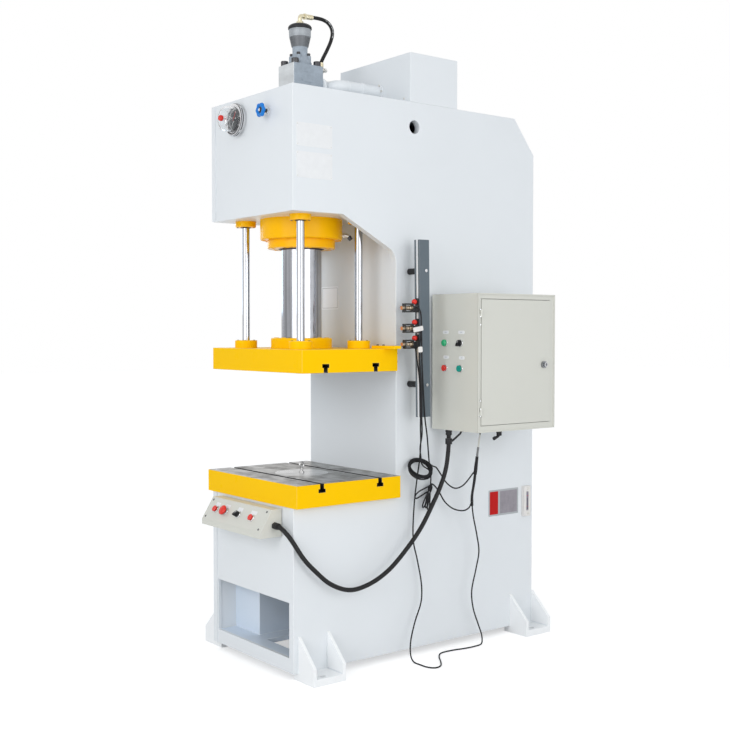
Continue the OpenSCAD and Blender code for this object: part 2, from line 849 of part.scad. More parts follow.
// Threaded barrel, two nuts and the sensing cap
module proximity_sensors() {
    color("silver") at_sensors() rotate([-90, 0, 0]) {
        cylinder(r = sensor_r, h = 60);
        translate([0, 0, sensor_tip - bracket_y]) cylinder(r = sensor_r - 1, h = bracket_y - sensor_tip + eps);
        for (y = [5, 36]) translate([0, 0, y]) cylinder(r = 11.5, h = 4, $fn = 6);
    }
}

// Ball knobs; their screws clamp the brackets through the rail's slot
module sensor_knobs() {
    rear = rail_y - bracket_y;
    color("red") at_sensors() translate([0, 0, knob_z]) rotate([-90, 0, 0]) {
        translate([0, 0, rear - 5 - knob_r]) sphere(r = knob_r);
        translate([0, 0, rear - 8]) cylinder(r = 4, h = 8 + rail_t);
        translate([0, 0, rear + rail_t]) cylinder(r = 9, h = 5);
    }
}

// ---- push buttons ----

// Hole for a button, cut through a panel whose outside is z = 0
module button_hole() {
    translate([0, 0, -20]) cylinder(r = hole_r, h = 20 + ring_h + eps);
}

module button_ring() {
    translate([0, 0, -eps]) cylinder(r = ring_r, h = ring_h + eps);
}

module button_cap() {
    translate([0, 0, -cap_in]) cylinder(r = cap_r, h = cap_in + ring_h + press_in + 1);
}

module selector_knob() {
    translate([0, 0, -cap_in]) cylinder(r = cap_r, h = cap_in + ring_h + 3);
    translate([-11, -4, ring_h + 2]) cube([22, 8, 11]);
}

module stop_mushroom() {
    translate([0, 0, -cap_in]) cylinder(r = cap_r, h = cap_in + ring_h + press_in + 3);
    translate([0, 0, ring_h + press_in + 2]) rotate_extrude() polygon([
        [0, 0], [16, 0], [20, 4], [20, 8], [16, 12], [8, 14], [0, 14.5]
    ]);
}

// ---- cabinet ----

module cabinet_buttons() {
    for (x = [panel_x0, panel_x1], z = [panel_z0, panel_z1])
        facing_front(x, cab_y0, z) children();
}

// Folded housing; a lip runs round the door opening
module cabinet_box() {
    lip_x = cab_x1 - door_t - sheet_t + 1.5;
    color("beige") difference() {
        union() {
            difference() {
                block([cab_x0, cab_y0, cab_z], [cab_x1, cab_y1, cab_z1]);
                block([cab_x0 + sheet_t, cab_y0 + sheet_t, cab_z + sheet_t],
                    [cab_x1 - sheet_t, cab_y1 - sheet_t, cab_z1 - sheet_t]);
            }
            block([lip_x, door_y0 - sheet_t, door_z0 - sheet_t],
                [cab_x1 - eps, door_y1 + sheet_t, door_z1 + sheet_t]);
            cabinet_buttons() button_ring();
            for (y = [cab_y0 + 40, cab_y1 - 40], z = [cab_z + 40, cab_z1 - 40])
                translate([half_w, y, z]) rotate([0, 90, 0]) cylinder(d = 20, h = cab_gap + eps);
        }
        block([lip_x - eps, door_y0, door_z0], [cab_x1 + eps, door_y1, door_z1]);
        cabinet_buttons() button_hole();
    }
}

// Folded sheet door, open at the back
module cabinet_door() {
    x1 = cab_x1 + door_proud;
    y0 = door_y0 + door_gap;
    y1 = door_y1 - door_gap;
    z0 = door_z0 + door_gap;
    z1 = door_z1 - door_gap;
    color("beige") difference() {
        union() {
            block([x1 - door_t, y0, z0], [x1, y1, z1]);
            for (z = hinge_zs) translate([hinge_x, hinge_y, z])
                hinge_leaf();
        }
        block([x1 - door_t - eps, y0 + sheet_t, z0 + sheet_t],
            [x1 - sheet_t, y1 - sheet_t, z1 - sheet_t]);
        translate([x1 - door_t, lock_y, lock_z]) rotate([0, 90, 0]) cylinder(r = 11.1, h = door_t + eps);
        for (z = hinge_zs) translate([hinge_x, hinge_y, z - eps])
            cylinder(r = pin_r + run_gap, h = hinge_l / 2 + 2 * eps);
    }
}

// Upper knuckle of a hinge and the strap that carries it on the door
module hinge_leaf() {
    cylinder(r = hinge_r, h = hinge_l / 2);
    translate([door_proud - 6, 0, 0]) cube([2.5, 18, hinge_l / 2]);
}

// Lower knuckles and pins, fixed to the cabinet's front edge
module door_hinges() {
    color("silver") for (z = hinge_zs) translate([hinge_x, hinge_y, z]) {
        translate([0, 0, -hinge_l / 2]) cylinder(r = hinge_r, h = hinge_l / 2 - small_gap);
        translate([0, 0, -hinge_l / 2]) cylinder(r = pin_r, h = hinge_l - 1);
        translate([-6, -13, -hinge_l / 2]) cube([3, 13, hinge_l / 2 - small_gap]);
    }
}

// Cam lock; its tongue hangs down, clear of the lip, while the door is unlocked
module door_lock() {
    x1 = cab_x1 + door_proud;
    color("silver") translate([x1, lock_y, lock_z]) rotate([0, 90, 0]) {
        translate([0, 0, small_gap]) cylinder(r = 14, h = 10);
        translate([0, 0, 10]) cylinder(r = 9, h = 7);
        translate([0, 0, -door_t - 8]) cylinder(r = 11, h = door_t + 9);
        translate([-9, -9, -door_t - 8]) cube([62, 18, 4]);
    }
}

module cabinet_lamp() {
    color("limegreen") facing_front(panel_x0, cab_y0, panel_z1) button_cap();
}

module cabinet_selector() {
    color("black") facing_front(panel_x1, cab_y0, panel_z1) rotate([0, 0, 60]) selector_knob();
}

module cabinet_red_button() {
    color("red") facing_front(panel_x0, cab_y0, panel_z0) button_cap();
}

module cabinet_green_button() {
    color("green") facing_front(panel_x1, cab_y0, panel_z0) button_cap();
}

// ---- operator console ----

module console_outline(inset) {
    front = front_y - con_d + inset;
    back = front_y - inset;
    top = con_z + con_h - inset;
    slope_in = inset / sin(con_tilt);
    polygon([
        [back, con_z + inset], [back, top],
        [front_y - con_top + slope_in - inset / tan(con_tilt), top],
        [front, con_z + con_lip - (slope_in - inset) * tan(con_tilt)], [front, con_z + inset]
    ]);
}

module operator_console() {
    color("beige") difference() {
        union() {
            along_x(-con_w / 2, con_w) console_outline(0);
            for (x = [left_x, stop_x, selector_x, right_x]) on_console(x) button_ring();
        }
        along_x(-con_w / 2 + con_wall, con_w - 2 * con_wall) console_outline(con_wall);
        for (x = [left_x, stop_x, selector_x, right_x]) on_console(x) button_hole();
    }
}

module console_left_button() { color("red") on_console(left_x) button_cap(); }
module console_right_button() { color("red") on_console(right_x) button_cap(); }
module emergency_stop() { color("red") on_console(stop_x) stop_mushroom(); }
module console_selector() { color("black") on_console(selector_x) rotate([0, 0, 40]) selector_knob(); }

// ---- oil level gauge ----

module level_gauge() {
    color("silver") difference() {
        block([half_w, level_y - 20, level_z - 67], [half_w + 20, level_y + 20, level_z + 67]);
        block([half_w + 12, level_y - 7, level_z - 42], [half_w + 21, level_y + 7, level_z + 42]);
    }
}

// ---- cords ----

module cable_glands() {
    color("black") {
        translate([con_w / 2, con_gland_y, con_gland_z]) rotate([0, 90, 0]) gland(30, big_hose_d);
        translate([hose_gland[0], hose_gland[1], cab_z]) mirror([0, 0, 1]) gland(25, big_hose_d);
        translate([cable_gland[0], cable_gland[1], cab_z]) mirror([0, 0, 1]) gland(18, 12);
        translate([spare_gland[0], spare_gland[1], cab_z]) mirror([0, 0, 1]) gland(22, 14);
    }
}

// A hexagon foot and a round cap nut, height h overall
module gland(h, d) {
    cylinder(r = d / 2 + 5, h = h / 2, $fn = 6);
    cylinder(r = d / 2 + 3, h = h);
}

module console_hose() {
    color("black") tube(console_hose_route, big_hose_d, 12);
}

module switch_cable_a() {
    color("black") tube(cable_a_route, cable_d, 8);
}

module switch_cable_b() {
    color("black") {
        tube(cable_b_upper, cable_d, 8);
        tube(cable_b_lower, cable_d, 8);
    }
}

module cable_coil() {
    color("black") translate(coil_mid) rotate([0, 90 - coil_lean, 0])
        rotate_extrude() translate([coil_r, 0]) circle(r = coil_section_r, $fn = 32);
}

module switch_cable_c() {
    color("black") {
        tube(cable_c_upper, cable_d, 8);
        tube(cable_c_lower, cable_d, 8);
    }
}

// Hank of spare cable: three lobes that hang from its tie
module cable_hank() {
    color("black") translate(hank_tie) along_x(-hank_t / 2, hank_t)
        for (lobe = hank_lobes) rotate(lobe[0]) hank_lobe(lobe[1], lobe[2]);
}

module hank_lobe(length, width) {
    r = width / 2;
    translate([0, -r]) circle(r = r);
    translate([-r, -length + r]) square([width, length - width]);
    translate([0, -length + r]) circle(r = r);
}

left_side_plate();
right_side_plate();
head_front_plate();
head_bottom_plate();
column_front_plate();
head_top_plate();
rear_plate();
base_front_plate();
base_inner_plates();
tower_cover();
feet();
worktable();
table_plug();
cylinder_barrel();
cylinder_flange();
gland_ring();
piston_rod();
rod_flange();
ram_plate();
ram_striker();
guide_rods();
guide_bushes();
guide_rod_flanges();
valve_block();
valve_body();
hose_fittings();
pressure_hose();
suction_pipe();
gauge_case();
gauge_cover();
gauge_pointer();
gauge_set_knob();
handwheel();
switch_rail();
rail_standoffs();
sensor_brackets();
proximity_sensors();
sensor_knobs();
cabinet_box();
cabinet_door();
door_hinges();
door_lock();
cabinet_lamp();
cabinet_selector();
cabinet_red_button();
cabinet_green_button();
operator_console();
console_left_button();
console_right_button();
emergency_stop();
console_selector();
level_gauge();
cable_glands();
console_hose();
switch_cable_a();
switch_cable_b();
cable_coil();
switch_cable_c();
cable_hank();
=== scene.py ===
"""Hydraulic C-frame press: finishes and small parts round its CAD frame."""
import json
import math

import bmesh
import bpy
import numpy as np
from bpy.props import FloatProperty, FloatVectorProperty, IntProperty, PointerProperty
from bpy.types import NodeSocket, Operator, Panel, PropertyGroup
from mathutils import Matrix, Vector

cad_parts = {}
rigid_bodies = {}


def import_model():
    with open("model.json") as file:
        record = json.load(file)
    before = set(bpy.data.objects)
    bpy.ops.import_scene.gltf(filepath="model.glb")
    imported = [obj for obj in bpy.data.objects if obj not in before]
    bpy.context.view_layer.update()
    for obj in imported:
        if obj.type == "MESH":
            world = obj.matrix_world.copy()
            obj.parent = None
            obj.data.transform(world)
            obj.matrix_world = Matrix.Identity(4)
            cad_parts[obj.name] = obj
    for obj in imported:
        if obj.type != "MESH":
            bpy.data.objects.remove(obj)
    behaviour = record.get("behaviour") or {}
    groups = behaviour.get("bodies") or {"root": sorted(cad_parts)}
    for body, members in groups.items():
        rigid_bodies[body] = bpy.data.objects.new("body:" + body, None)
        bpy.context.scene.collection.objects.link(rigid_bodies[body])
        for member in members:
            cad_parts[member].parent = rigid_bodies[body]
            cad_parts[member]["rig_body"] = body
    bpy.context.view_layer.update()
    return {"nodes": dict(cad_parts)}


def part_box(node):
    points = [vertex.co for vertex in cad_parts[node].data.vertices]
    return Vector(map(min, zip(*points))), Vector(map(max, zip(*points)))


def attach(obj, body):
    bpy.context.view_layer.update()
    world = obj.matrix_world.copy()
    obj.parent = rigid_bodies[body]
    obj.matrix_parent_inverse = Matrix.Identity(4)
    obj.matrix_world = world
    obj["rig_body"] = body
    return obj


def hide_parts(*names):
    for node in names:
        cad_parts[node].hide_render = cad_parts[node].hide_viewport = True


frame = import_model()

bl_info = {
    "name": "Hydraulic press looks",
    "version": (1, 0, 0),
    "blender": (4, 5, 0),
    "location": "View3D > Sidebar > Press",
    "description": "Builds the finishes and the small parts of a C-frame press round its CAD frame",
    "category": "Object",
}

X, Y, Z = Vector((1, 0, 0)), Vector((0, 1, 0)), Vector((0, 0, 1))
FRONT = -Y
MM = 0.001
SIDES = (-1, 1)
QUARTERS = ((-1, -1), (-1, 1), (1, -1), (1, 1))


def mm(*values):
    """A point given in millimetres, in metres."""
    return Vector(values) * MM


def metres(points):
    return [tuple(c * MM for c in p) for p in points]


def at(x, y, z):
    """A matrix that moves to a point given in millimetres."""
    return Matrix.Translation(mm(x, y, z))


def spun(degrees, axis="Z"):
    return Matrix.Rotation(math.radians(degrees), 4, axis)


# ---- sizes and colours ----

def colour(label, about, default):
    return FloatVectorProperty(
        name=label, description=about, subtype="COLOR", size=3, min=0, max=1, default=default)


def length(label, about, default):
    return FloatProperty(
        name=label, description=about, subtype="DISTANCE", unit="LENGTH", min=0.0001, default=default)


def power(label, about, default):
    return FloatProperty(name=label, description=about, unit="POWER", min=0, default=default)


class PressPaint(PropertyGroup):
    """Colours of the painted parts."""
    frame: colour("Frame enamel", "Off-white enamel of the welded frame", (0.765, 0.795, 0.82))
    yellow: colour("Table enamel", "Yellow enamel of the table, the ram and its flanges",
                   (1.0, 0.585, 0.0015))
    orange: colour("Flange enamel", "Deeper yellow on the cylinder and bush flanges", (1.0, 0.52, 0.002))
    beige: colour("Cabinet coat", "Powder coat of the cabinet and the console", (0.645, 0.645, 0.59))
    rail: colour("Rail enamel", "Slate enamel of the switch rail", (0.105, 0.135, 0.16))
    casting: colour("Valve casting", "Grey of the valve block and body", (0.335, 0.385, 0.44))


class PressPlastic(PropertyGroup):
    """Colours of the moulded parts."""
    red: colour("Red", "Red buttons and knobs", (0.72, 0.036, 0.026))
    green: colour("Green lamp", "Green lamp lens", (0.0, 0.40, 0.15))
    teal: colour("Teal button", "Green start button", (0.01, 0.30, 0.24))
    blue: colour("Handwheel blue", "Blue star handwheel", (0.006, 0.19, 0.62))
    black: colour("Black", "Black plastic and rubber", (0.018, 0.018, 0.02))
    card: colour("Card", "White dial and blank labels", (0.80, 0.81, 0.82))


class PressEdges(PropertyGroup):
    """Rounding of edges."""
    plate: length("Plate edge", "Rounding of the thick plates' edges", 0.0022)
    sheet: length("Sheet edge", "Rounding of folded sheet", 0.0012)
    fine: length("Fine edge", "Rounding of small parts", 0.0006)


class PressCables(PropertyGroup):
    """Sizes of the cords."""
    console: length("Console hose", "Diameter of the hose from the console to the cabinet", 0.018)
    switch: length("Switch cable", "Diameter of the sensor cables", 0.006)
    coil_turns: IntProperty(name="Coil turns", description="Turns in the coil of spare cable",
                            min=3, max=7, default=7)


class PressScrews(PropertyGroup):
    """Sizes of the screws."""
    flange: length("Flange screw", "Head diameter of the guide flanges' screws", 0.0095)
    cylinder: length("Cylinder screw", "Head diameter of the cylinder flanges' screws", 0.024)
    block: length("Block screw", "Head diameter of the valve block's corner screws", 0.030)
    small: length("Small screw", "Head diameter of the cover and console screws", 0.009)
    seed: IntProperty(name="Seed", description="Fixes how far each screw is turned", default=7)


class PressStage(PropertyGroup):
    """Camera and light."""
    lens: FloatProperty(name="Lens", description="Focal length in millimetres on a 36 mm sensor",
                        min=10, default=55.01)
    azimuth: FloatProperty(name="Azimuth", description="Turn of the camera round the press, in degrees",
                           default=52.19)
    elevation: FloatProperty(name="Elevation", description="Height angle of the camera, in degrees",
                             default=1.78)
    place: FloatVectorProperty(name="Place", description="Where the camera stands",
                               subtype="TRANSLATION", unit="LENGTH", size=3,
                               default=(3.777, -3.001, 1.335))
    sky: FloatProperty(name="Sky", description="Strength of the even light", min=0, default=0.70)
    key: power("Key lamp", "Power of the large front lamp in watts", 84)
    side: power("Side lamp", "Power of the lamp on the cabinet's side in watts", 74)
    throat: power("Throat lamp", "Power of the small lamp in the throat in watts", 2.4)


SETTINGS = {"press_paint": PressPaint, "press_plastic": PressPlastic, "press_edges": PressEdges,
            "press_cables": PressCables, "press_screws": PressScrews, "press_stage": PressStage}


def edges():
    return bpy.context.scene.press_edges


def cables():
    return bpy.context.scene.press_cables


def screws():
    return bpy.context.scene.press_screws


# ---- node trees ----

SOCKET_FORMS = {"Geometry": "Geometry", "Material": "Material", "Screw": "Object"}


class Wiring:
    """Adds nodes to a tree and joins them."""

    def __init__(self, tree):
        self.tree = tree

    def add(self, kind, inputs=None, **settings):
        node = self.tree.nodes.new(kind)
        for key, value in settings.items():
            setattr(node, key, value)
        for key, value in (inputs or {}).items():
            self.join(value, node.inputs[key])
        return node

    def join(self, value, socket):
        if isinstance(value, NodeSocket):
            self.tree.links.new(value, socket)
        elif value is not None:
            socket.default_value = value

    def maths(self, operation, a, b=0.0, clamp=False):
        return self.add("ShaderNodeMath", {0: a, 1: b}, operation=operation, use_clamp=clamp).outputs[0]

    def out(self, kind, inputs=None, **settings):
        """Adds a node and gives its first output."""
        return self.add(kind, inputs, **settings).outputs[0]

    def times(self, a, b, clamp=False):
        return self.maths("MULTIPLY", a, b, clamp)

    def plus(self, a, b):
        return self.maths("ADD", a, b)

    def scaled(self, vector, factor):
        return self.add("ShaderNodeVectorMath", {0: vector, "Scale": factor}, operation="SCALE").outputs[0]

    def mix(self, factor, a, b):
        """Mix of two colours; the node has one set of sockets for each type of value."""
        return self.add("ShaderNodeMix", {0: factor, 6: a, 7: b}, data_type="RGBA").outputs[2]

    def remap(self, value, low, high, to_low, to_high):
        return self.add("ShaderNodeMapRange", {0: value, 1: low, 2: high, 3: to_low, 4: to_high}).outputs[0]

    def noise(self, where, scale, detail=2.0, rough=0.5):
        return self.add("ShaderNodeTexNoise", {"Vector": where, "Scale": scale, "Detail": detail,
                                               "Roughness": rough}).outputs["Fac"]

    def where(self):
        return self.add("ShaderNodeTexCoord").outputs["Object"]

    def seen(self):
        """1 for rays that show a surface to the viewer, straight or by a mirror or glass."""
        path = self.add("ShaderNodeLightPath").outputs
        return self.maths("MAXIMUM", path["Is Camera Ray"],
                          self.maths("MAXIMUM", path["Is Glossy Ray"], path["Is Transmission Ray"]))


def socket_form(label, default):
    if label in SOCKET_FORMS:
        return SOCKET_FORMS[label]
    if isinstance(default, tuple):
        return "Color" if len(default) == 4 else "Vector"
    return "Int" if isinstance(default, int) else "Float"


def group(name, inputs, outputs, kind="ShaderNodeTree", wiring=Wiring):
    """A node group with sockets named after the keys; gives its wiring and its two end nodes."""
    tree = bpy.data.node_groups.new(name, kind)
    for way, sockets in (("INPUT", inputs), ("OUTPUT", outputs)):
        for label, default in sockets.items():
            form = "NodeSocket" + socket_form(label, default)
            socket = tree.interface.new_socket(label, in_out=way, socket_type=form)
            if default is not None and way == "INPUT":
                socket.default_value = default
    w = wiring(tree)
    return w, w.add("NodeGroupInput"), w.add("NodeGroupOutput")


def skin(w, where, given):
    """Sprayed paint: slow drift of tone, faint dust, lighter edges, and peel. The lighter edges are partly
    worn paint and partly a painted highlight where the rounded edges catch the light.
    """
    patches, specks = w.noise(where, 14.0, 5.0, 0.62), w.noise(where, 260.0, 2.0, 0.7)
    tone = w.times(w.maths("SUBTRACT", w.noise(where, 2.3, 3.0), 0.5), given["Drift"])
    toned = w.scaled(given["Colour"], w.plus(1.0, w.times(tone, 2.0)))
    dust = w.times(w.remap(patches, 0.5, 0.75, 0, 1), w.remap(specks, 0.45, 0.7, 0, 1))
    dusty = w.mix(w.times(dust, given["Dust"]), toned, (0.30, 0.28, 0.25, 1))
    marks = w.add("ShaderNodeAttribute", attribute_name="edge").outputs["Fac"]
    # the marked edges are mixed towards near white: partly worn paint, partly a painted highlight
    worn_and_lit_edges = w.times(marks, w.times(given["Edge"], w.remap(specks, 0.35, 0.65, 0.4, 1.6)), clamp=True)
    return (w.mix(worn_and_lit_edges, dusty, (0.92, 0.93, 0.94, 1)),
            w.plus(w.remap(patches, 0.3, 0.75, -0.05, 0.07), given["Gloss"]),
            w.plus(w.times(w.noise(where, given["Grain Scale"], 2.0), 0.25),
                   w.times(w.noise(where, 9.0, 1.0), given["Wave"])))


def worked(w, where, given):
    """Worked metal: streaking along one way, tarnish in patches, fine scratches. Where the streaking is
    strong, on the chrome rods and the ground table, it is painted reflection as well.
    """
    along = w.add("ShaderNodeVectorMath", {0: where, 1: given["Stretch"]}, operation="MULTIPLY").outputs[0]
    streak, wide = w.noise(along, 1.0, 4.0, 0.65), w.noise(w.scaled(along, 0.09), 1.0, 2.0)
    patches = w.noise(where, 18.0, 6.0, 0.6)
    # light and dark bands in the tone: strong on chrome and the ground table, where they are painted
    # reflections; elsewhere the metal's own streaking
    streak_and_reflection_bands = w.plus(w.times(w.maths("SUBTRACT", streak, 0.5), 0.7), w.maths("SUBTRACT", wide, 0.5))
    toned = w.scaled(given["Colour"], w.plus(1.0, w.times(streak_and_reflection_bands, given["Streaks"])))
    stain = w.times(w.remap(patches, 0.42, 0.72, 0, 1), given["Stain"], clamp=True)
    return (w.mix(stain, toned, given["Tarnish"]),
            w.plus(w.plus(w.times(streak, 0.16), -0.08), w.plus(given["Gloss"], w.times(stain, 0.25))),
            streak)


def grained(w, where, given):
    """Moulded plastic, rubber and castings: fine grain, slight wear of the gloss, lint."""
    mottle = w.noise(where, 45.0, 4.0, 0.6)
    lint = w.times(w.remap(w.noise(where, 500.0, 2.0, 0.8), 0.62, 0.72, 0, 1), given["Lint"], clamp=True)
    toned = w.scaled(given["Colour"], w.plus(1.0, w.times(w.maths("SUBTRACT", mottle, 0.5),
                                                          w.times(given["Mottle"], 2.0))))
    return (w.mix(lint, toned, (0.55, 0.54, 0.52, 1)),
            w.plus(w.remap(mottle, 0.3, 0.7, -0.05, 0.08), given["Gloss"]),
            w.noise(where, given["Grain Scale"], 3.0, 0.6))


TEXTURES = {
    "sprayed_skin": (skin, {"Colour": (0.8, 0.8, 0.8, 1), "Drift": 0.03, "Dust": 0.05, "Edge": 0.1,
                            "Grain Scale": 400.0, "Gloss": 0.35, "Wave": 0.5}),
    "worked_metal": (worked, {"Colour": (0.6, 0.6, 0.6, 1), "Tarnish": (0.2, 0.19, 0.18, 1),
                              "Stretch": (600.0, 12.0, 600.0), "Streaks": 0.3, "Stain": 0.2, "Gloss": 0.3}),
    "moulded_grain": (grained, {"Colour": (0.1, 0.1, 0.1, 1), "Grain Scale": 900.0, "Mottle": 0.1,
                                "Lint": 0.03, "Gloss": 0.4}),
}
TEXTURE_ENDS = {"Colour": (0, 0, 0, 1), "Roughness": 0.0, "Height": 0.0}


def texture(name):
    """The shader group of that name, built when it is first asked for."""
    if name not in bpy.data.node_groups:
        fill, inputs = TEXTURES[name]
        w, start, end = group(name, inputs, TEXTURE_ENDS)
        for label, made in zip(TEXTURE_ENDS, fill(w, w.where(), start.outputs)):
            w.join(made, end.inputs[label])
    return bpy.data.node_groups[name]


def surface(name, kind, tone, bump, values, plain):
    """A material from one of the textures; bump is how far the height moves, in metres."""
    material = bpy.data.materials.new(name)
    material.use_nodes = True
    w = Wiring(material.node_tree)
    shader = w.tree.nodes["Principled BSDF"].inputs
    use = w.add("ShaderNodeGroup", {"Colour": (*tone, 1.0), **values}, node_tree=texture(kind)).outputs
    w.join(use["Colour"], shader["Base Color"])
    w.join(use["Roughness"], shader["Roughness"])
    if bump:
        height = {"Height": use["Height"], "Strength": 1.0, "Distance": bump}
        w.join(w.out("ShaderNodeBump", height), shader["Normal"])
    for key, value in plain.items():
        shader[key].default_value = value


# edge sets how much the rounded edges lighten: partly worn paint, partly a painted highlight
def enamel(name, tone, gloss=0.32, drift=0.03, dust=0.05, edge=0.12, wave=0.5, grain=380.0, bump=0.00003,
           coat=0.1, specular=0.4):
    surface(name, "sprayed_skin", tone, bump,
            {"Drift": drift, "Dust": dust, "Edge": edge, "Wave": wave, "Grain Scale": grain, "Gloss": gloss},
            {"Coat Weight": coat, "Coat Roughness": 0.12, "Specular IOR Level": specular})


def metal(name, tone, tarnish, stretch, streaks, stain, gloss, bump=0.00002):
    stretch = stretch if isinstance(stretch, tuple) else (stretch,) * 3
    surface(name, "worked_metal", tone, bump,
            {"Tarnish": (*tarnish, 1.0), "Stretch": stretch, "Streaks": streaks, "Stain": stain,
             "Gloss": gloss}, {"Metallic": 1.0})


def moulded(name, tone, gloss=0.38, grain=900.0, mottle=0.12, lint=0.03, bump=0.00004, coat=0.0, metallic=0.0,
            specular=0.5):
    surface(name, "moulded_grain", tone, bump,
            {"Grain Scale": grain, "Mottle": mottle, "Lint": lint, "Gloss": gloss},
            {"Metallic": metallic, "Coat Weight": coat, "Specular IOR Level": specular})


def clear(name, tone, gloss, ior, share):
    """A clear moulded cover with a few smears that show in its gloss."""
    surface(name, "moulded_grain", tone, 0.0,
            {"Grain Scale": 60.0, "Mottle": 0.04, "Lint": 0.0, "Gloss": gloss},
            {"Transmission Weight": share, "IOR": ior})


def entry(slot, maker, tone, *values, **facts):
    return slot, maker, tone, values, facts


# How deep the grain of polished and of plated metal is, in metres
POLISHED, PLATED = 0.000004, 0.000006

